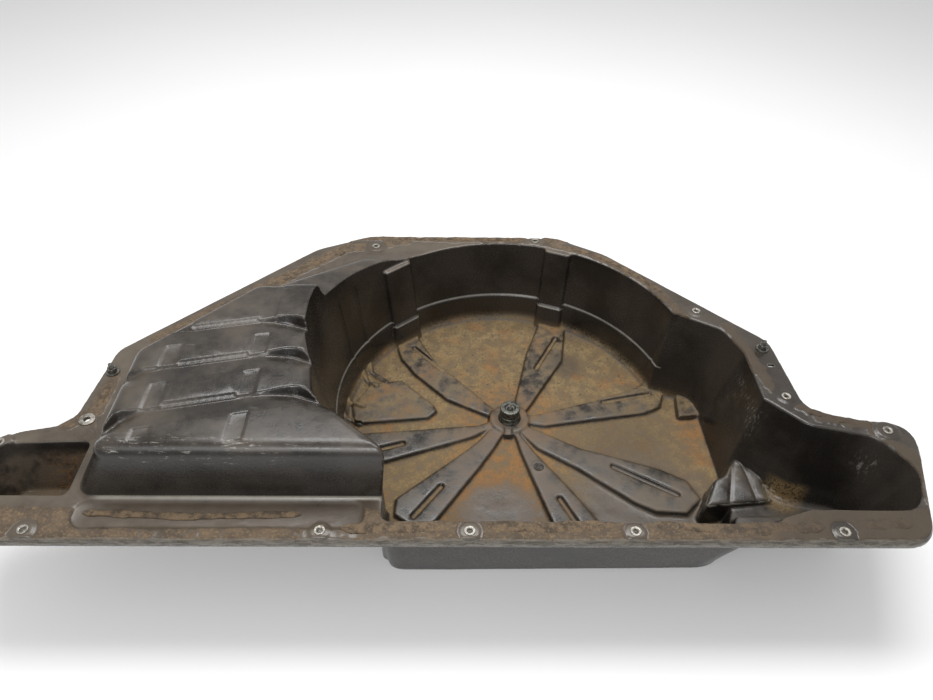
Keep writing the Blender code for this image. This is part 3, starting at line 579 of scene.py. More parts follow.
flangeDetails = {
    "recess": (-0.352, -0.348, 0.218, 0.025), "recessDepth": 0.0028,      # centre x, y and half sizes
    "padRadius": 0.0165, "lumps": 0.0035,
}
holes = {      # place of each sleeve and how high its pad stands
    "sleeve_front_far_left": 0.0025, "sleeve_front_left": 0.0025, "sleeve_front_centre": 0.0025,
    "sleeve_front_right": 0.0025, "sleeve_front_far_right": 0.0025, "sleeve_right_lobe": 0.004,
    "sleeve_left_lobe": 0.004, "sleeve_right_neck": 0.0015, "sleeve_right_diagonal": 0.0015,
    "sleeve_back_left": 0.0015, "sleeve_back_right": 0.0015,
}


def middleOf(node):
    low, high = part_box(node)
    return (low + high) / 2


def pressPlatform(points):
    # shallow strips across the bands, and a ledge along each step between them
    x, y, z = points.T
    turn = bands["turn"]
    v = -x * math.sin(turn) + y * math.cos(turn)
    near = ease(z, 0.284, 0.292) * ease(-x, 0.15, 0.20)
    farPart = np.zeros(len(points))
    press = np.zeros(len(points))
    inLedge = ease(x, -0.451, -0.447) * ease(-x, 0.337, 0.341)
    for edge in bands["steps"]:
        farPart = np.maximum(farPart, ease(v, edge - bands["fold"] - 0.001, edge - bands["fold"] + 0.002)
                             * ease(-v, -edge - 0.001, -edge + 0.001))
        front = edge + bands["stepWidth"]
        behind = -(front + bands["ledge"])
        press -= (bands["ledgeDrop"] * inLedge * ease(v, front - 0.002, front)
                  * ease(-v, behind - 0.001, behind + 0.001))
    for low, high in bands["strips"]:
        strip = ease(x, low - 0.0015, low + 0.0015) * ease(-x, -high - 0.0015, -high + 0.0015)
        press -= bands["stripDepth"] * strip * (1 - farPart) * ease(y, -0.296, -0.286)
    points[:, 2] += press * near
    return points


def flangeResidue(points):
    # where the old sealing bead and dirt lie on the flange, from 0 to 1
    x, y = points[:, 0], points[:, 1]
    flat = points.copy()
    flat[:, 2] = 0
    rough = cloud(flat, 0.045, 3) * 0.62 + cloud(flat, 0.012, 5) * 0.38
    front = ease(-y, 0.325, 0.345) * (0.60 + 0.40 * ease(x, -0.16, -0.02))
    front *= 1 - 0.8 * ease(-x, 0.60, 0.64) * ease(-y, 0.36, 0.37)
    wideLeft = ease(-x, 0.555, 0.575) * ease(-y, 0.335, 0.350)
    backLeft = ease(-farFromPath(x, y, [(-0.11, 0.372), (-0.235, 0.345), (-0.40, 0.19), (-0.55, 0.045)]),
                    -0.028, -0.004)
    rightArc = ease(-np.abs(np.hypot(x - cx, y - cy) - 0.362), -0.016, -0.002) * ease(x, 0.12, 0.20)
    back = ease(y, 0.360, 0.380)
    neckLeft = ease(-farFromPath(x, y, [(-0.600, -0.06), (-0.606, -0.14), (-0.64, -0.17)]), -0.022, -0.004)
    neckRight = ease(-farFromPath(x, y, [(0.53, 0.09), (0.565, -0.08), (0.62, -0.145), (0.70, -0.165),
                                         (0.755, -0.25),
                                         (0.74, -0.33)]), -0.026, -0.002)
    amount = np.maximum.reduce([front, wideLeft * 0.8, backLeft * 0.95, rightArc, back * 0.9, neckLeft * 0.8,
                                neckRight * 0.72])
    for node in holes:
        spot = middleOf(node)
        amount *= 0.15 + 0.85 * ease(np.hypot(x - spot.x, y - spot.y), 0.016, 0.027)
    recess = flangeRecess(x, y)
    amount *= 1 - 0.85 * recess
    return ease(amount * 0.75 + rough - 0.60, 0.12, 0.42)


def flangeRecess(x, y):
    mx, my, hx, hy = flangeDetails["recess"]
    soft = 0.022
    qx, qy = np.abs(x - mx) - hx + soft, np.abs(y - my) - hy + soft
    outside = np.hypot(np.maximum(qx, 0), np.maximum(qy, 0)) + np.minimum(np.maximum(qx, qy), 0) - soft
    return 1 - ease(outside, -0.004, 0.002)


def pressFlange(points, normals):
    x, y, z = points.T
    sheet = ease(z, 0.190, 0.1935) * ease(-z, -0.206, -0.202)
    upper = ease(z, 0.1975, 0.1990) * ease(-z, -0.206, -0.202) * ease(normals[:, 2], 0.5, 0.9)
    points[:, 2] -= flangeDetails["recessDepth"] * flangeRecess(x, y) * sheet
    lumps = flangeResidue(points)
    flat = points.copy()
    flat[:, 2] = 0
    thick = 0.20 + 0.80 * cloud(flat, 0.020, 8) ** 1.5 * 1.6
    lift = flangeDetails["lumps"] * lumps * thick
    for node, rise in holes.items():
        spot = middleOf(node)
        grow = 1.3 if "lobe" in node else 1.0
        away = np.hypot(x - spot.x, y - spot.y)
        pad = 1 - ease(away, flangeDetails["padRadius"] * grow - 0.003,
                       flangeDetails["padRadius"] * grow + 0.002)
        lift = lift * (1 - pad) + rise * pad
    for side in ("left", "right"):
        spot = middleOf("locating_stud_" + side)
        lift *= ease(np.hypot(x - spot.x, y - spot.y), 0.0135, 0.018)
    spot = middleOf("shoulder_washer")
    lift *= ease(np.hypot(x - spot.x, y - spot.y), 0.0145, 0.019)
    points[:, 2] += lift * upper
    return points


def pressWalls(points, normals):
    # upright creases in the wall of the well and the slight waviness of a moulding
    x, y, z = points.T
    radius = np.hypot(x - cx, y - cy)
    angle = np.degrees(np.arctan2(y - cy, x - cx))
    onWall = ease(radius, 0.318, 0.326) * ease(-radius, -0.372,
                                               -0.362) * ease(z, 0.030, 0.045) * ease(-z, -0.215, -0.200)
    move = np.zeros(len(points))
    for place, low in ((105.6, 0.150), (94.0, 0.145), (83.2, 0.150), (150.0, 0.06), (160.0, 0.05)):
        away = np.abs(angle - place) * math.radians(1) * radius
        move -= 0.0016 * np.exp(-(away / 0.0032) ** 2) * ease(z, low, low + 0.012)
    lean = 17.4 + (0.200 - z) / 0.134 * 2.8
    away = np.abs(angle - lean) * math.radians(1) * radius
    move += 0.0018 * np.exp(-(away / 0.0030) ** 2) * ease(-radius, -0.380, -0.360)
    outward = np.stack([(x - cx) / radius, (y - cy) / radius, np.zeros(len(x))], 1)
    points += outward * (move * onWall)[:, None]
    sway = cloud(points, 0.075, 21, 2) - 0.5
    held = ease(z, 0.004, 0.008)
    rim = 1 - ease(z, 0.18, 0.19) * ease(-z, -0.21, -0.204)
    points += normals * (sway * 0.0016 * held * (0.25 + 0.75 * rim))[:, None]
    return points


def pressFloor(points, normals):
    # short curved ribs by the left wall, the cut-in hub and the uneven sand
    x, y, z = points.T
    top = ease(-z, -0.030, -0.024) * ease(normals[:, 2], 0.3, 0.7)
    radius = np.hypot(x - cx, y - cy)
    ribs = [[(-0.193, 0.195), (-0.178, 0.153), (-0.145, 0.127)], [(-0.208, 0.170), (-0.184, 0.125),
                                                                  (-0.163, 0.105)],
            [(-0.233, 0.081), (-0.214, 0.058), (-0.185, 0.047)], [(-0.240, 0.047), (-0.222, 0.021),
                                                                  (-0.190, 0.004)]]
    lift = np.zeros(len(points))
    for rib in ribs:
        away = farFromPath(x, y, rib)
        lift = np.maximum(lift, 0.006 * (1 - ease(away, 0.003, 0.007)))
    hubAway = np.hypot(x - hubX, y - hubY)
    notch = 0.0050 * (1 - ease(np.abs(x - hubX + 0.004), 0.006, 0.009)) * ease(-y, 0.0130 - hubY,
                                                                               0.0165 - hubY)
    lift -= notch * ease(hubAway, 0.026, 0.029) * ease(-hubAway, -0.052, -0.046)
    low = 1 - ease(z, 0.0075, 0.0100)
    flat = points.copy()
    flat[:, 2] = 0
    lift += (cloud(flat, 0.016, 31) - 0.35) * 0.0012 * low * ease(-radius, -0.44, -0.40)
    plug = middleOf("blanking_plug")
    ring = 0.0008 * (1 - ease(np.abs(np.hypot(x - plug.x, y - plug.y) - 0.012), 0.001, 0.0025))
    lift += ring
    points[:, 2] += lift * top
    return points


def pressBlock(points):
    # the block beside the right pocket falls towards the front and has two folds
    x, y, z = points.T
    inside = ease(x, 0.425, 0.440) * ease(-x, -0.585, -0.570) * ease(y, -0.245,
                                                                     -0.235) * ease(-y, 0.100, 0.108)
    inside *= ease(z, 0.050, 0.056) * ease(-z, -0.075, -0.070)
    fall = 0.014 * ease(-y, 0.125, 0.232)
    for fold in (((0.514, -0.128), (0.486, -0.230)), ((0.529, -0.128), (0.545, -0.230))):
        away = farFromLine(x, y, fold)[0]
        fall += 0.0022 * (1 - ease(away, 0.001, 0.005))
    points[:, 2] -= fall * inside
    return points


def pressDetails(tub):
    points = pressPlatform(readPoints(tub))
    writePoints(tub, points)
    normals = readNormals(tub)
    points = pressWalls(points, normals)
    points = pressFlange(points, normals)
    points = pressFloor(points, normals)
    points = pressBlock(points)
    points[:, 2] = np.maximum(points[:, 2], 0.0)
    writePoints(tub, points)
    settle = tub.modifiers.new("settle", "SMOOTH")
    settle.factor = 0.35
    settle.iterations = 1
    thin = tub.modifiers.new("thin", "DECIMATE")
    thin.ratio = min(1.0, mould["faces"] / (2 * len(tub.data.polygons)))
    applyModifiers(tub)


pressDetails(tubMoulding)
print("moulding pressed:", len(tubMoulding.data.polygons), "faces")


def cutHoles(tub):
    tools = []
    for node in holes:
        spot = middleOf(node)
        tools.append(postTool("hole_" + node, spot, 0.0065, flangeTop - 0.02, flangeTop + 0.02))
    for side in ("left", "right"):
        spot = middleOf("locating_stud_" + side)
        tools.append(postTool("studHole_" + side, spot, 0.0043, flangeTop - 0.02, flangeTop + 0.02))
    spot = middleOf("shoulder_washer")
    tools.append(postTool("washerHole", spot, 0.0056, flangeTop - 0.02, flangeTop + 0.02))
    tools.append(postTool("plugHole", middleOf("blanking_plug"), 0.008, -0.01, 0.03))
    tools.append(postTool("postHole", mould["hub"], 0.0083, -0.01, 0.03))
    deselectAll()
    bpy.ops.mesh.primitive_cube_add(size=1, location=(0.580, -0.017, flangeTop), scale=(0.011, 0.0065, 0.04))
    applyPlace(bpy.context.object)
    tools.append(bpy.context.object)
    joinOrCut(tub, tools, "DIFFERENCE")


cutHoles(tubMoulding)
residue = tubMoulding.data.attributes.new("residue", "FLOAT", "POINT")
tubPoints = readPoints(tubMoulding)
onFlange = ease(tubPoints[:, 2], 0.1965, 0.1985) * ease(-tubPoints[:, 2], -0.212, -0.206)
residue.data.foreach_set("value", (flangeResidue(tubPoints) * onFlange).astype(np.float32))
pick(tubMoulding)
bpy.ops.object.shade_smooth_by_angle(angle=math.radians(55))
print("moulding finished:", len(tubMoulding.data.polygons), "faces")


# sleeves, studs, washer, plug and post

fittings = {
    "sleeveHead": 0.0085, "sleeveBore": 0.0038, "sleeveBody": 0.0061, "headThick": 0.0013,
    "stud": 0.0039, "threadPitch": 0.00125, "threadDeep": 0.0006, "nutAcross": 0.0086,
    "postThreadPitch": 0.0018, "postThreadDeep": 0.0009,
}


def closedRing(name, profile, centre, steps=40):
    # a profile that runs round a bore, joined into one closed ring by bridging its two ends
    rings = []
    for radius, z in profile:
        turns = [2 * math.pi * i / steps for i in range(steps)]
        rings.append([(centre[0] + radius * math.cos(a), centre[1] + radius * math.sin(a), z)
                      for a in turns])
    deselectAll()
    bpy.ops.mesh.primitive_circle_add(vertices=steps, radius=0.1, fill_type="NOTHING")
    obj = bpy.context.object
    obj.name = name
    bpy.ops.object.mode_set(mode="EDIT")
    for _ in rings[1:]:
        bpy.ops.mesh.extrude_edges_move(TRANSFORM_OT_translate={"value": (0, 0, 0.01)})
    bpy.ops.object.mode_set(mode="OBJECT")
    writePoints(obj, np.array([point for ring in rings for point in ring]))
    mesh = obj.data
    last = (len(rings) - 1) * steps
    chosen = np.zeros(len(mesh.vertices), bool)
    chosen[:steps] = True
    chosen[last:] = True
    for edge in mesh.edges:
        edge.select = bool(chosen[edge.vertices[0]] and chosen[edge.vertices[1]])
    for vertex in mesh.vertices:
        vertex.select = bool(chosen[vertex.index])
    for polygon in mesh.polygons:
        polygon.select = False
    bpy.ops.object.mode_set(mode="EDIT")
    bpy.ops.mesh.select_mode(type="EDGE")
    bpy.ops.mesh.bridge_edge_loops()
    bpy.ops.object.mode_set(mode="OBJECT")
    fixNormals(obj)
    pick(obj)
    bpy.ops.object.shade_smooth_by_angle(angle=math.radians(38))
    return obj


def softCorner(outer, inner, low, high, soft):
    # closed profile of a ring with softened edges
    return [(inner, low + soft), (inner + soft, low), (outer - soft, low), (outer, low + soft),
            (outer, high - soft), (outer - soft * 0.3, high - soft * 0.3), (outer - soft, high),
            (inner + soft, high), (inner, high - soft)]


def makeSleeves():
    made = []
    first = None
    head, bore, body = fittings["sleeveHead"], fittings["sleeveBore"], fittings["sleeveBody"]
    for node in holes:
        low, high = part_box(node)
        spot = (low + high) / 2
        if first is None:
            thick = fittings["headThick"]
            top = high.z
            profile = [(bore, low.z), (body, low.z), (body, top - thick), (head - 0.0003, top - thick),
                       (head, top - thick * 0.6), (head - 0.0004, top - 0.0002), (head - 0.0012, top),
                       (bore + 0.0014, top - 0.0001), (bore + 0.0005, top - 0.0006), (bore, top - 0.0014)]
            first = closedRing("eyelet_" + node, profile, (spot.x, spot.y))
            first["homeX"], first["homeY"], first["homeZ"] = spot.x, spot.y, top
            sleeve = first
        else:
            sleeve = first.copy()
            sleeve.data = first.data.copy()
            sleeve.name = "eyelet_" + node
            bpy.context.scene.collection.objects.link(sleeve)
            move = Vector((spot.x - first["homeX"], spot.y - first["homeY"], high.z - first["homeZ"]))
            sleeve.data.transform(Matrix.Translation(move))
        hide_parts(node)
        made.append(sleeve)
    return made


def threadProfile(radius, deep, pitch, low, high):
    points = []
    z = low
    while z < high - pitch:
        points += [(radius, z), (radius, z + pitch * 0.12), (radius - deep, z + pitch * 0.5),
                   (radius - deep, z + pitch * 0.62)]
        z += pitch
    return points + [(radius, z), (radius - 0.0002, high - 0.0008), (radius - 0.0010, high)]


def makeStuds():
    made = []
    for side in ("left", "right"):
        low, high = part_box("locating_stud_" + side)
        spot = (low + high) / 2
        foot = flangeTop + 0.0004
        profile = [(fittings["stud"], low.z), (fittings["stud"], foot), (0.0115, foot),
                   (0.0119, foot + 0.0008),
                   (0.0113, foot + 0.0027), (0.0045, foot + 0.0030)]
        profile += threadProfile(fittings["stud"], fittings["threadDeep"], fittings["threadPitch"],
                                 foot + 0.0031, high.z)
        stud = turned("studBody_" + side, profile, (spot.x, spot.y), 40)
        pick(stud)
        bpy.ops.object.shade_smooth_by_angle(angle=math.radians(32))
        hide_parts("locating_stud_" + side)
        made.append(stud)
        low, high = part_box("stud_nut_" + side)
        middle = (low + high) / 2
        deselectAll()
        bpy.ops.mesh.primitive_cylinder_add(vertices=6, radius=fittings["nutAcross"], depth=high.z - low.z,
                                            location=middle, rotation=(0, 0, 0.4))
        nut = bpy.context.object
        nut.name = "hexNut_" + side
        applyPlace(nut)
        crown = turned("crown", [(0.0076, low.z - 0.0001), (0.0088, low.z + 0.0012),
                                 (0.0088, high.z - 0.0014),
                                 (0.0072, high.z + 0.0001)], (middle.x, middle.y), 40)
        joinOrCut(nut, [crown], "INTERSECT")
        joinOrCut(nut, [postTool("nutBore", (middle.x, middle.y), 0.0043, low.z - 0.01, high.z + 0.01)],
                  "DIFFERENCE")
        soft = nut.modifiers.new("soft", "BEVEL")
        soft.width = 0.00025
        soft.segments = 2
        applyModifiers(nut)
        bpy.ops.object.shade_smooth_by_angle(angle=math.radians(30))
        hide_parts("stud_nut_" + side)
        made.append(nut)
    return made


def makeWasherAndPlug():
    low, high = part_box("shoulder_washer")
    spot = (low + high) / 2
    washer = closedRing("washerRing", softCorner((high.x - low.x) / 2 - 0.0001, 0.0058, low.z, high.z,
                                                 0.0004),
                        (spot.x, spot.y))
    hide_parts("shoulder_washer")
    low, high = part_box("blanking_plug")
    spot = (low + high) / 2
    seat = mould["spokeTop"] + 0.0004
    head = (high.x - low.x) / 2
    plug = turned("plugCap", [(0.0066, low.z), (0.0074, low.z + 0.001), (0.0074, seat),
                              (head - 0.0004, seat),
                              (head, seat + 0.0004), (head - 0.0006, high.z - 0.0002),
                              (head - 0.0022, high.z),
                              (0.0046, high.z), (0.0040, high.z - 0.0006), (0.0010, high.z - 0.0007)],
                  (spot.x, spot.y), 40)
    pick(plug)
    bpy.ops.object.shade_smooth_by_angle(angle=math.radians(35))
    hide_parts("blanking_plug")
    return [washer, plug]


def makePost():
    low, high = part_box("hold_down_post")
    wide = (high.x - low.x) / 2 - 0.003      # the foot stands 3 mm proud of the barrel
    foot = mould["hubTop"] + 0.0004
    top = high.z
    socket = top - 0.022
    profile = [(0.0050, low.z), (0.0078, low.z + 0.001), (0.0078, foot), (wide + 0.0026, foot),
               (wide + 0.0029, foot + 0.0012), (wide + 0.0022, foot + 0.0030),
               (wide + 0.0004, foot + 0.0050),
               (wide, foot + 0.0068), (wide, foot + 0.0110), (wide - 0.0012, foot + 0.0120),
               (wide - 0.0012, foot + 0.0220), (wide - 0.0002, foot + 0.0230), (wide - 0.0002, top - 0.0024),
               (wide - 0.0012, top - 0.0006), (wide - 0.0030, top), (0.0118, top), (0.0104, top - 0.0010),
               (0.0091, top - 0.0026), (0.0090, socket), (0.0010, socket - 0.001)]
    post = turned("postBarrel", profile, mould["hub"], 72)
    pick(post)
    bpy.ops.object.shade_smooth_by_angle(angle=math.radians(35))
    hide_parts("hold_down_post")
    low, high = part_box("post_thread_insert")
    outer, pitch, deep = 0.0086, fittings["postThreadPitch"], fittings["postThreadDeep"]
    profile = [(0.0064, low.z), (outer, low.z), (outer, high.z), (0.0078, high.z)]
    z = high.z - 0.0006
    while z > low.z + pitch:
        profile += [(0.0062, z - pitch * 0.20), (0.0062 + deep, z - pitch * 0.55),
                    (0.0062 + deep, z - pitch * 0.70)]
        z -= pitch
    sleeve = closedRing("postThread", profile, mould["hub"], 48)
    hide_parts("post_thread_insert")
    return [post, sleeve]


sleeveRings = makeSleeves()
studPieces = makeStuds()
washerRing, plugCap = makeWasherAndPlug()
postBarrel, postThread = makePost()
print("fittings made:", len(sleeveRings) + len(studPieces) + 4)


# the old sealing bead

bead = {
    "cell": 0.0030, "thick": 0.0030,
    "routes": {      # half width and the stretch that each piece follows
        "sealant_front_left": (0.0068, [(-0.555, -0.344), (-0.400, -0.351), (-0.228, -0.346)]),
        "sealant_front_mid_left": (0.0095, [(-0.168, -0.371), (-0.080, -0.373), (0.000, -0.369)]),
        "sealant_front_mid_right": (0.0105, [(0.046, -0.369), (0.140, -0.371), (0.244, -0.367)]),
        "sealant_front_right": (0.0105, [(0.294, -0.367), (0.420, -0.373), (0.555, -0.367)]),
        "sealant_front_corner": (0.0110, [(0.604, -0.362), (0.645, -0.364), (0.690, -0.362)]),
        "sealant_left_front": (0.0100, [(-0.712, -0.352), (-0.670, -0.352), (-0.655, -0.350)]),
        "sealant_right_neck": (0.0080, [(0.690, -0.163), (0.640, -0.146), (0.604, -0.128)]),
        "sealant_back": (0.0060, [(0.140, 0.382), (0.050, 0.383), (-0.140, 0.381)]),
        "sealant_left_diagonal": (0.0095, [(-0.235, 0.335), (-0.300, 0.285), (-0.400, 0.185),
                                           (-0.500, 0.085)]),
        "sealant_left_neck": (0.0065, [(-0.603, -0.076), (-0.606, -0.134)]),
        "sealant_right_diagonal": (0.0075, [polar(angle, 0.3655) for angle in range(27, 68, 5)]),
    },
}


def alongRoute(route, share):
    lengths = [math.dist(a, b) for a, b in zip(route, route[1:])]
    goal = share * sum(lengths)
    for (a, b), length in zip(zip(route, route[1:]), lengths):
        if goal <= length or b is route[-1]:
            t = min(goal / length, 1.0)
            return (a[0] + (b[0] - a[0]) * t, a[1] + (b[1] - a[1]) * t,
                    (b[0] - a[0]) / length, (b[1] - a[1]) / length)
        goal -= length


def makeBead(node, half, route, seed):
    # a flat grid laid along the route with a torn outline, swollen in the middle, then given its thickness
    total = sum(math.dist(a, b) for a, b in zip(route, route[1:]))
    long, wide = max(int(total / bead["cell"]), 6), 12
    deselectAll()
    bpy.ops.mesh.primitive_grid_add(x_subdivisions=long, y_subdivisions=wide, size=1)
    strip = bpy.context.object
    strip.name = "bead_" + node[8:]
    grid = readPoints(strip)
    share, side = grid[:, 0] + 0.5, grid[:, 1] * 2
    places = np.array([alongRoute(route, t) for t in share])
    torn = np.stack([share * total, side * 0.004 + seed, np.zeros(len(grid))], 1)
    leftEdge = 0.55 + 0.75 * cloud(torn, 0.030, seed) + 0.25 * (cloud(torn, 0.009, seed + 4) - 0.5)
    taper = np.sqrt(np.clip(np.minimum(share, 1 - share) * total / 0.015, 0.02, 1))
    reach = half * leftEdge * taper * side
    spots = np.stack([places[:, 0] - places[:, 3] * reach, places[:, 1] + places[:, 2] * reach,
                      np.zeros(len(grid))], 1)
    crown = np.sqrt(np.clip(1 - side ** 2, 0, 1))
    lumps = 0.30 + 1.0 * cloud(spots, 0.012, seed + 9) + 0.5 * (cloud(spots, 0.0045, seed + 11) - 0.5)
    sunk = 0.0034 * flangeRecess(spots[:, 0], spots[:, 1])
    spots[:, 2] = flangeTop + 0.0014 - sunk + bead["thick"] * crown * lumps * taper
    writePoints(strip, spots)
    body = strip.modifiers.new("body", "SOLIDIFY")
    body.thickness = 0.0012
    body.offset = -1
    soft = strip.modifiers.new("soft", "SUBSURF")
    soft.levels = soft.render_levels = 1
    applyModifiers(strip)
    fixNormals(strip)
    for polygon in strip.data.polygons:
        polygon.use_smooth = True
    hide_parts(node)
    return strip


beads = [makeBead(node, half, route, index + 3) for index,
         (node, (half, route)) in enumerate(bead["routes"].items())]
print("sealing bead:", len(beads), "stretches")


# materials

def feed(tree, socket, value):
    if isinstance(value, bpy.types.NodeSocket):
        tree.links.new(value, socket)
    else:
        socket.default_value = value


def calc(tree, how, a, b=0.0, c=0.0):
    node = tree.nodes.new("ShaderNodeMath")
    node.operation = how
    for socket, value in zip(node.inputs, (a, b, c)):
        feed(tree, socket, value)
    return node.outputs[0]


def times(tree, *values):
    result = values[0]
    for value in values[1:]:
        result = calc(tree, "MULTIPLY", result, value)
    return result


def mixed(tree, first, firstShare, second, secondShare):
    return calc(tree, "ADD", times(tree, first, firstShare), times(tree, second, secondShare))


def between(tree, value, low, high):
    node = tree.nodes.new("ShaderNodeMapRange")
    node.interpolation_type = "SMOOTHSTEP"
    feed(tree, node.inputs["Value"], value)
    flip = low > high
    node.inputs["From Min"].default_value = high if flip else low
    node.inputs["From Max"].default_value = low if flip else high
    node.inputs["To Min"].default_value = 1.0 if flip else 0.0
    node.inputs["To Max"].default_value = 0.0 if flip else 1.0
    return node.outputs[0]


def grain(tree, vector, size, detail=4.0, rough=0.55, bend=0.0):
    node = tree.nodes.new("ShaderNodeTexNoise")
    tree.links.new(vector, node.inputs["Vector"])
    node.inputs["Scale"].default_value = 1 / size
    node.inputs["Detail"].default_value = detail
    node.inputs["Roughness"].default_value = rough
    node.inputs["Distortion"].default_value = bend
    return node.outputs["Fac"]


def stretched(tree, vector, turn, stretch):
    node = tree.nodes.new("ShaderNodeMapping")
    tree.links.new(vector, node.inputs["Vector"])
    node.inputs["Rotation"].default_value = turn
    node.inputs["Scale"].default_value = stretch
    return node.outputs[0]


def blendColour(tree, share, a, b):
    node = tree.nodes.new("ShaderNodeMix")
    node.data_type = "RGBA"
    feed(tree, node.inputs["Factor"], share)
    feed(tree, node.inputs["A"], a if isinstance(a, bpy.types.NodeSocket) else (*a, 1))
    feed(tree, node.inputs["B"], b if isinstance(b, bpy.types.NodeSocket) else (*b, 1))
    return node.outputs["Result"]


def blendValue(tree, share, a, b):
    node = tree.nodes.new("ShaderNodeMix")
    feed(tree, node.inputs[0], share)
    feed(tree, node.inputs[2], a)
    feed(tree, node.inputs[3], b)
    return node.outputs[0]


def spotMask(tree, x, y, place, inner, outer):
    dx, dy = calc(tree, "SUBTRACT", x, place[0]), calc(tree, "SUBTRACT", y, place[1])
    away = calc(tree, "SQRT", calc(tree, "ADD", calc(tree, "MULTIPLY", dx, dx),
                                   calc(tree, "MULTIPLY", dy, dy)))
    return between(tree, away, outer, inner)


def startMaterial(name):
    material = bpy.data.materials.new(name)
    material.use_nodes = True
    tree = material.node_tree
    place = tree.nodes.new("ShaderNodeTexCoord").outputs["Object"]
    return material, tree, tree.nodes["Principled BSDF"], place


def addBump(tree, shader, height, distance, strength=1.0):
    node = tree.nodes.new("ShaderNodeBump")
    node.inputs["Strength"].default_value = strength
    node.inputs["Distance"].default_value = distance
    tree.links.new(height, node.inputs["Height"])
    tree.links.new(node.outputs[0], shader.inputs["Normal"])


def edgeLine(tree, radius):
    # how strongly the surface turns within a small radius
    geometry = tree.nodes.new("ShaderNodeNewGeometry")
    rounded = tree.nodes.new("ShaderNodeBevel")
    rounded.samples = 4
    rounded.inputs["Radius"].default_value = radius
    dot = tree.nodes.new("ShaderNodeVectorMath")
    dot.operation = "DOT_PRODUCT"
    tree.links.new(geometry.outputs["Normal"], dot.inputs[0])
    tree.links.new(rounded.outputs[0], dot.inputs[1])
    return dot.outputs["Value"]


mouldPaint = {
    # the dust colour is real dust and also a painted sheen on upward faces
    "dark": (0.0110, 0.0092, 0.0076), "light": (0.027, 0.0225, 0.0185), "dustAndSheen": (0.150, 0.116, 0.082),
    # the mud colour is real mud and also paints shade on the sand
    "sand": (0.190, 0.126, 0.054), "paleSand": (0.235, 0.168, 0.082), "mudAndShade": (0.060, 0.044, 0.029),
    "orange": (0.245, 0.108, 0.028), "residue": (0.135, 0.092, 0.054), "residueDark": (0.064, 0.045, 0.030),
    # the edge colour paints both worn edges and highlight lines
    "scuff": (0.42, 0.40, 0.36), "edge": (0.27, 0.25, 0.21),
}


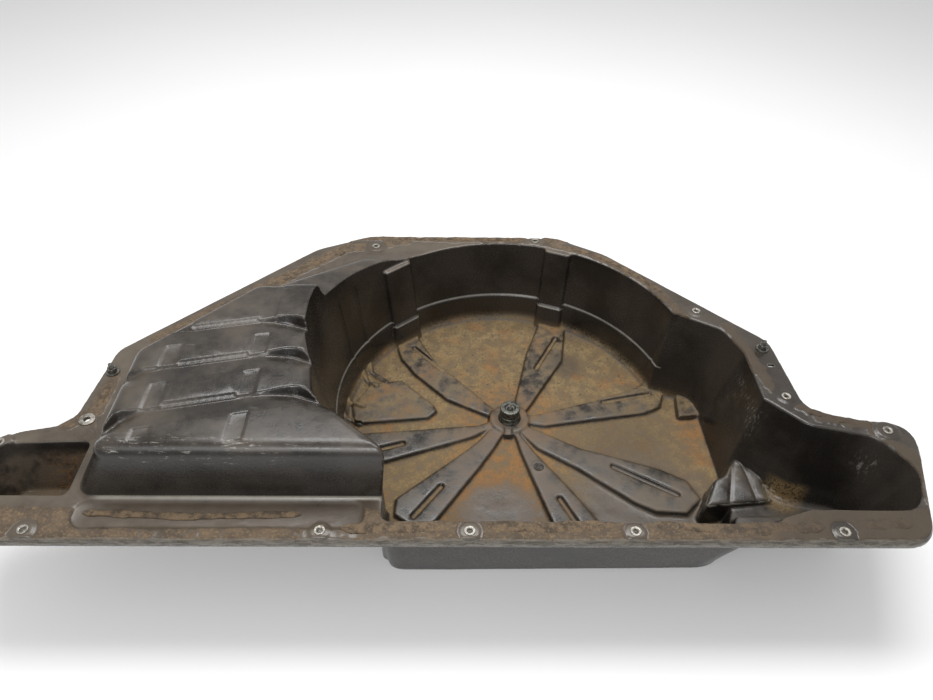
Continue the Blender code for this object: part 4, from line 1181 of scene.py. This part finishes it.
def mouldingMaterial():
    paint = mouldPaint
    material, tree, shader, place = startMaterial("mouldedPlastic")
    split = tree.nodes.new("ShaderNodeSeparateXYZ")
    tree.links.new(place, split.inputs[0])
    x, y, z = split.outputs
    geometry = tree.nodes.new("ShaderNodeNewGeometry")
    facing = tree.nodes.new("ShaderNodeSeparateXYZ")
    tree.links.new(geometry.outputs["Normal"], facing.inputs[0])
    up = between(tree, facing.outputs[2], 0.35, 0.92)
    broad, middle, fine = grain(tree, place, 0.110, 4), grain(tree, place, 0.022, 5,
                                                              0.6), grain(tree, place, 0.004, 4, 0.6)
    speck = grain(tree, place, 0.0012, 2)
    dx, dy = calc(tree, "SUBTRACT", x, cx), calc(tree, "SUBTRACT", y, cy)
    radius = calc(tree, "SQRT", calc(tree, "ADD", times(tree, dx, dx), times(tree, dy, dy)))

    # bare moulding, with a film of dust on what faces up, which also stands in for a painted sheen on the
    # upward faces
    colour = blendColour(tree, between(tree, broad, 0.35, 0.65), paint["dark"], paint["light"])
    onPlatform = times(tree, between(tree, z, 0.262, 0.285), up)
    dustAndSheenFilm = times(tree, up, between(tree, mixed(tree, broad, 0.6, middle, 0.4), 0.30, 0.72))
    farRight = times(tree, between(tree, x, 0.30, 0.58), between(tree, z, 0.185, 0.195))
    dustAndSheenFilm = times(tree, dustAndSheenFilm, blendValue(tree, onPlatform, 0.42, 0.34), blendValue(tree, farRight, 1.0, 0.30))
    colour = blendColour(tree, dustAndSheenFilm, colour, paint["dustAndSheen"])

    # sand on the low parts of the floor and up the foot of the wall
    low = times(tree, between(tree, z, 0.0125, 0.0085), up)
    frontRight = spotMask(tree, x, y, (0.345, -0.215), 0.07, 0.19)
    frontMiddle = times(tree, spotMask(tree, x, y, (0.083, -0.215), 0.045, 0.10), 0.85)
    bare = calc(tree, "MAXIMUM", times(tree, frontRight, 0.88), frontMiddle)
    thin = between(tree, mixed(tree, middle, 0.55, fine, 0.45), 0.40, 0.56)
    sandy = times(tree, low, calc(tree, "SUBTRACT", 1.0, bare), blendValue(tree, thin, 0.55, 1.0))
    climb = times(tree, between(tree, z, 0.036, 0.012), between(tree, radius, 0.295, 0.312),
                  between(tree, y, -0.02, 0.12),
                  between(tree, mixed(tree, broad, 0.5, fine, 0.5), 0.36, 0.56),
                  between(tree, calc(tree, "ABSOLUTE", calc(tree, "SUBTRACT", z, 0.03)), 0.032, 0.010))
    onRibs = times(tree, between(tree, z, 0.0125, 0.0150), between(tree, z, 0.026, 0.022), up)
    dusting = times(tree, onRibs, between(tree, mixed(tree, middle, 0.6, broad, 0.4), 0.36, 0.60),
                    blendValue(tree, between(tree, radius, 0.14, 0.30), 0.55, 0.85),
                    blendValue(tree, between(tree, y, -0.10, 0.06), 0.30, 1.0))
    sandTone = blendColour(tree, between(tree, fine, 0.38, 0.62), paint["sand"], paint["paleSand"])
    sandTone = blendColour(tree, between(tree, middle, 0.60, 0.44), sandTone, paint["sand"])
    stain = between(tree, calc(tree, "ADD", times(tree, grain(tree, place, 0.055, 3), 0.8),
                               times(tree, fine, 0.2)), 0.50, 0.66)
    nearHub = times(tree, spotMask(tree, x, y, mould["hub"], 0.06, 0.15), 0.8)
    frontStain = times(tree, spotMask(tree, x, y, (0.083, -0.150), 0.06, 0.17), 0.9)
    rightStain = times(tree, spotMask(tree, x, y, (0.495, -0.010), 0.02, 0.07), 0.9)
    stain = calc(tree, "MAXIMUM", times(tree, stain, 0.75),
                 times(tree, calc(tree, "MAXIMUM", calc(tree, "MAXIMUM", nearHub, frontStain), rightStain),
                       between(tree, middle, 0.36, 0.58)))
    sandTone = blendColour(tree, times(tree, stain, 0.80), sandTone, paint["orange"])
    # painted shade: the sand darkened towards the mud colour in two patches
    shade = calc(tree, "MAXIMUM", times(tree, spotMask(tree, x, y, (0.330, -0.040), 0.05, 0.17), 0.50),
                 times(tree, spotMask(tree, x, y, (0.245, 0.185), 0.015, 0.06), 0.75))
    shade = times(tree, shade, between(tree, mixed(tree, broad, 0.4, middle, 0.6), 0.34, 0.56))
    sandTone = blendColour(tree, shade, sandTone, paint["mudAndShade"])
    darkSpots = times(tree, between(tree, grain(tree, place, 0.0075, 5, 0.7), 0.575, 0.64),
                      between(tree, y, 0.02, 0.12))
    sandTone = blendColour(tree, times(tree, darkSpots, 0.85), sandTone, paint["mudAndShade"])
    colour = blendColour(tree, times(tree, low, 0.55), colour, paint["mudAndShade"])
    sandShare = calc(tree, "MINIMUM",
                     calc(tree, "ADD", calc(tree, "MAXIMUM", sandy, times(tree, climb, 0.6)), dusting), 1.0)
    colour = blendColour(tree, times(tree, sandShare, 0.92), colour, sandTone)

    # brown rest of the sealing bead and dirt on the flange
    lay = tree.nodes.new("ShaderNodeAttribute")
    lay.attribute_name = "residue"
    brown = times(tree, between(tree, lay.outputs["Fac"], 0.05, 0.55),
                  blendValue(tree, between(tree, fine, 0.35, 0.6), 0.75, 1.0))
    brownTone = blendColour(tree, between(tree, mixed(tree, middle, 0.5, fine, 0.5), 0.36, 0.62),
                            paint["residueDark"], paint["residue"])
    brownTone = blendColour(tree, times(tree, between(tree, fine, 0.55, 0.66), 0.4), brownTone,
                            paint["paleSand"])
    brownTone = blendColour(tree, times(tree, farRight, 0.90), brownTone, paint["mudAndShade"])
    colour = blendColour(tree, times(tree, brown, 0.94), colour, brownTone)
    # the clean upward flange takes the dust colour: partly dust, partly painted sheen
    onFlange = times(tree, between(tree, z, 0.188, 0.196), between(tree, z, 0.214, 0.206), up)
    clean = calc(tree, "SUBTRACT", 1.0, brown)
    colour = blendColour(tree, times(tree, onFlange, clean, blendValue(tree, farRight, 0.34, 0.10)), colour,
                         paint["dustAndSheen"])

    # rust-coloured fibres in the left pocket
    inPocket = times(tree, between(tree, x, -0.585, -0.600), between(tree, z, 0.190, 0.170),
                     between(tree, y, -0.19, -0.20))
    strands = grain(tree, stretched(tree, place, (0.4, 0.2, 0.9), (0.5, 1.5, 1.5)), 0.0040, 5, 0.75, 1.2)
    fibre = times(tree, inPocket, spotMask(tree, x, y, (-0.618, -0.262), 0.025, 0.080),
                  between(tree, strands, 0.50, 0.62))
    colour = blendColour(tree, times(tree, inPocket, between(tree, middle, 0.30, 0.60), 0.38), colour,
                         paint["dustAndSheen"])
    colour = blendColour(tree, times(tree, fibre, 0.80), colour, paint["orange"])
    colour = blendColour(tree, times(tree, inPocket, up, 0.5), colour, paint["sand"])

    # sand that ran down beside the block at the right
    slope = times(tree, spotMask(tree, x, y, (0.590, -0.195), 0.018, 0.045), between(tree, z, 0.085, 0.070),
                  between(tree, fine, 0.36, 0.52))
    colour = blendColour(tree, times(tree, slope, 0.8), colour, paint["sand"])

    # scuffs on the front edge of the platform, the neck wall and the back wall of the right pocket
    streaks = grain(tree, stretched(tree, place, (0, 0, 0.30), (0.25, 1.6, 1.6)), 0.0055, 5, 0.75, 0.6)
    frontEdge = times(tree, between(tree, z, 0.262, 0.290), between(tree, y, -0.272, -0.288),
                      between(tree, x, -0.20, -0.30),
                      between(tree, middle, 0.42, 0.58))
    wholeTop = times(tree, onPlatform, between(tree, grain(tree, place, 0.05, 3), 0.54, 0.68), 0.22)
    upright = grain(tree, stretched(tree, place, (0, 0.15, 0), (1.6, 1.6, 0.30)), 0.0060, 4, 0.7, 0.5)
    neck = times(tree, between(tree, x, 0.515, 0.535), between(tree, y, 0.015, -0.02),
                 between(tree, y, -0.13, -0.10),
                 between(tree, z, 0.095, 0.12), between(tree, z, 0.188, 0.165),
                 between(tree, broad, 0.46, 0.56), 0.5)
    pocketBack = times(tree, between(tree, x, 0.640, 0.675), between(tree, y, -0.235, -0.205),
                       between(tree, z, 0.115, 0.135),
                       between(tree, z, 0.180, 0.160), between(tree, broad, 0.50, 0.58), 0.35)
    scratch = calc(tree, "ADD", times(tree, calc(tree, "MAXIMUM", frontEdge, wholeTop),
                                      between(tree, streaks, 0.56, 0.64)),
                   times(tree, calc(tree, "MAXIMUM", neck, pocketBack), between(tree, upright, 0.55, 0.64)))
    colour = blendColour(tree, times(tree, calc(tree, "MINIMUM", scratch, 1.0), 0.7), colour, paint["scuff"])

    # pale line along sharp turns, partly wear and partly a painted highlight, with painted highlight lines
    # at the platform's foot, along the front lip and on the wall creases
    turnAmount = edgeLine(tree, 0.0035)
    wearAndHighlight = times(tree, between(tree, turnAmount, 0.988, 0.91), between(tree, middle, 0.34, 0.54),
                 between(tree, facing.outputs[2], -0.2, 0.2))
    # painted highlight: a pale line along the fold at the platform's front foot
    highlightLines = times(tree, between(tree, y, -0.3235, -0.3205), between(tree, y, -0.3150, -0.3180),
                     between(tree, x, -0.56, -0.53),
                     between(tree, x, -0.09, -0.12), between(tree, z, 0.206, 0.203),
                     between(tree, z, 0.194, 0.197), blendValue(tree, middle, 0.4, 1.3))
    # painted highlight along the front lip of the flange
    lipHighlight = times(tree, between(tree, facing.outputs[1], -0.6, -0.9), between(tree, z, 0.183, 0.186),
                between(tree, y, -0.38, -0.39),
                blendValue(tree, between(tree, streaks, 0.40, 0.60), 0.25, 0.85))
    # painted highlight: pale lines along the two creases of the wall
    ring = times(tree, between(tree, calc(tree, "ABSOLUTE", calc(tree, "SUBTRACT", z, 0.0745)), 0.0022,
                               0.0008),
                 between(tree, radius, 0.3225, 0.3245), between(tree, radius, 0.338, 0.335))
    lowCreaseHighlight = times(tree, between(tree, calc(tree, "ABSOLUTE", calc(tree, "SUBTRACT", z, 0.0645)), 0.0022,
                                  0.0008),
                    between(tree, radius, 0.306, 0.309), between(tree, radius, 0.3245, 0.3225))
    creaseHighlight = times(tree, calc(tree, "MAXIMUM", ring, lowCreaseHighlight), blendValue(tree, middle, 0.15, 0.85))
    highlightLines = calc(tree, "MAXIMUM", highlightLines, creaseHighlight)
    # edge wear and the painted highlight lines are laid on in the pale edge colour
    wearAndHighlight = calc(tree, "MINIMUM", calc(tree, "ADD", times(tree, wearAndHighlight, 0.65),
                                      calc(tree, "ADD", highlightLines, times(tree, lipHighlight, 0.6))), 1.0)
    colour = blendColour(tree, times(tree, wearAndHighlight, calc(tree, "SUBTRACT", 1.0, sandShare)), colour,
                         paint["edge"])
    tree.links.new(colour, shader.inputs["Base Color"])

    matt = calc(tree, "MINIMUM", calc(tree, "ADD", sandShare, brown), 1.0)
    gloss = mixed(tree, broad, 0.16, fine, 0.20)
    gloss = calc(tree, "ADD", gloss, calc(tree, "ADD", 0.08, times(tree, dustAndSheenFilm, 0.40)))
    tree.links.new(blendValue(tree, matt, gloss, 0.93), shader.inputs["Roughness"])
    shader.inputs["Specular IOR Level"].default_value = 0.55
    relief = mixed(tree, middle, 0.35, fine, 0.25)
    relief = calc(tree, "ADD", relief, times(tree, speck, blendValue(tree, matt, 0.03, 0.35)))
    relief = calc(tree, "ADD", relief, times(tree, fine, blendValue(tree, matt, 0.0, 0.9)))
    addBump(tree, shader, relief, 0.0011, 0.55)
    return material


def beadMaterial():
    material, tree, shader, place = startMaterial("oldSealant")
    middle, fine = grain(tree, place, 0.014, 4, 0.6), grain(tree, place, 0.003, 4, 0.65)
    tone = blendColour(tree, between(tree, middle, 0.38, 0.62), (0.056, 0.040, 0.026), (0.140, 0.096, 0.056))
    tone = blendColour(tree, times(tree, between(tree, fine, 0.52, 0.66), 0.45), tone, (0.26, 0.19, 0.115))
    split = tree.nodes.new("ShaderNodeSeparateXYZ")
    tree.links.new(place, split.inputs[0])
    farRight = between(tree, split.outputs[0], 0.28, 0.60)
    tone = blendColour(tree, times(tree, farRight, 0.75), tone, (0.050, 0.036, 0.025))
    tree.links.new(tone, shader.inputs["Base Color"])
    tree.links.new(blendValue(tree, fine, 0.8, 1.0), shader.inputs["Roughness"])
    addBump(tree, shader, calc(tree, "ADD", times(tree, middle, 0.5), fine), 0.0016, 0.8)
    return material


def metalMaterial(name, clean, dull, rust, rustShare, shine):
    material, tree, shader, place = startMaterial(name)
    middle, fine = grain(tree, place, 0.006, 4, 0.6), grain(tree, place, 0.0012, 4, 0.6)
    tone = blendColour(tree, between(tree, middle, 0.36, 0.62), dull, clean)
    corroded = times(tree, between(tree, mixed(tree, middle, 0.6, fine, 0.4), 0.50, 0.62), rustShare)
    tone = blendColour(tree, corroded, tone, rust)
    tree.links.new(tone, shader.inputs["Base Color"])
    tree.links.new(blendValue(tree, corroded, 0.9, 0.1), shader.inputs["Metallic"])
    tree.links.new(blendValue(tree, corroded, blendValue(tree, fine, shine, shine + 0.25), 0.9),
                   shader.inputs["Roughness"])
    addBump(tree, shader, fine, 0.0003, 0.6)
    return material


def rubberMaterial():
    material, tree, shader, place = startMaterial("plugRubber")
    middle, fine = grain(tree, place, 0.005, 4), grain(tree, place, 0.001, 3)
    tone = blendColour(tree, between(tree, middle, 0.4, 0.65), (0.020, 0.018, 0.016), (0.070, 0.055, 0.042))
    tree.links.new(tone, shader.inputs["Base Color"])
    tree.links.new(blendValue(tree, fine, 0.6, 0.9), shader.inputs["Roughness"])
    addBump(tree, shader, fine, 0.0003, 0.5)
    return material


def dress(obj, material):
    obj.data.materials.clear()
    obj.data.materials.append(material)


plastic = mouldingMaterial()
sealing = beadMaterial()
zinc = metalMaterial("zincSteel", (0.50, 0.48, 0.43), (0.20, 0.185, 0.16), (0.085, 0.055, 0.033), 0.85, 0.34)
steel = metalMaterial("darkSteel", (0.20, 0.195, 0.175), (0.085, 0.08, 0.070), (0.070, 0.045, 0.028), 0.50,
                      0.38)
postSteel = metalMaterial("postSteel", (0.155, 0.16, 0.14), (0.065, 0.064, 0.056), (0.060, 0.044, 0.030),
                          0.45, 0.33)
threadSteel = metalMaterial("threadSteel", (0.20, 0.195, 0.17), (0.060, 0.055, 0.046), (0.050, 0.035, 0.024),
                            0.5, 0.40)
rubber = rubberMaterial()

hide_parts("tub_shell")
dress(tubMoulding, plastic)
for strip in beads:
    dress(strip, sealing)
for piece in sleeveRings + [washerRing]:
    dress(piece, zinc)
dress(postThread, threadSteel)
for piece in studPieces:
    dress(piece, steel)
dress(postBarrel, postSteel)
dress(plugCap, rubber)
for node in ("post_washer", "post_nut"):
    dress(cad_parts[node], zinc)
for piece in [tubMoulding, postBarrel, postThread, washerRing, plugCap] + beads + sleeveRings + studPieces:
    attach(piece, "root")
print("materials given")


# floor, light and camera

stage = {"floorHalf": 9.0, "floorTone": (0.86, 0.86, 0.86), "sky": 0.55,
         "view": (-0.0026, -1.0181, 1.1442), "lens": 29.13, "sensor": 36, "reach": 60,
         "floorPale": (0.90, 0.90, 0.90), "floorRough": 0.9, "floorGrain": 0.8}


def makeFloor():
    deselectAll()
    bpy.ops.mesh.primitive_plane_add(size=stage["floorHalf"] * 2)
    floor = bpy.context.object
    floor.name = "floor"
    material, tree, shader, place = startMaterial("paleFloor")
    tone = blendColour(tree, grain(tree, place, stage["floorGrain"], 3), stage["floorTone"],
                       stage["floorPale"])
    tree.links.new(tone, shader.inputs["Base Color"])
    shader.inputs["Roughness"].default_value = stage["floorRough"]
    dress(floor, material)


def areaLight(name, place, aim, size, power):
    lamp = bpy.data.lights.new(name, "AREA")
    lamp.shape = "RECTANGLE"
    lamp.size, lamp.size_y = size
    lamp.energy = power
    obj = bpy.data.objects.new(name, lamp)
    obj.location = place
    obj.rotation_euler = (Vector(aim) - Vector(place)).to_track_quat("-Z", "Y").to_euler()
    bpy.context.scene.collection.objects.link(obj)


def makeCamera():
    right, above, ahead = (0.9998, -0.0079, 0.0168), (-0.0071, 0.6732, 0.7395), (0.0171, 0.7394, -0.6730)
    camera = bpy.data.objects.new("camera", bpy.data.cameras.new("camera"))
    bpy.context.scene.collection.objects.link(camera)
    place = stage["view"]
    camera.matrix_world = Matrix([(right[i], above[i], -ahead[i], place[i]) for i in range(3)]
                                 + [(0, 0, 0, 1)])
    camera.data.sensor_width = stage["sensor"]
    camera.data.lens = stage["lens"]
    camera.data.clip_end = stage["reach"]
    bpy.context.scene.camera = camera


def makeSky():
    world = bpy.data.worlds.new("studio")
    world.use_nodes = True
    world.node_tree.nodes["Background"].inputs["Color"].default_value = (1, 1, 1, 1)
    world.node_tree.nodes["Background"].inputs["Strength"].default_value = stage["sky"]
    bpy.context.scene.world = world


makeFloor()
areaLight("ceiling", (0.10, 0.75, 2.6), (0.0, 0.0, 0.1), (2.4, 1.0), 62)
areaLight("frontFill", (-0.9, -2.2, 1.9), (0, 0, 0.15), (1.6, 1.2), 14)
areaLight("frontLamp", (-0.25, -1.95, 2.05), (-0.15, -0.30, 0.28), (0.8, 0.25), 16)
makeSky()
makeCamera()
bpy.context.scene.view_settings.view_transform = "Standard"
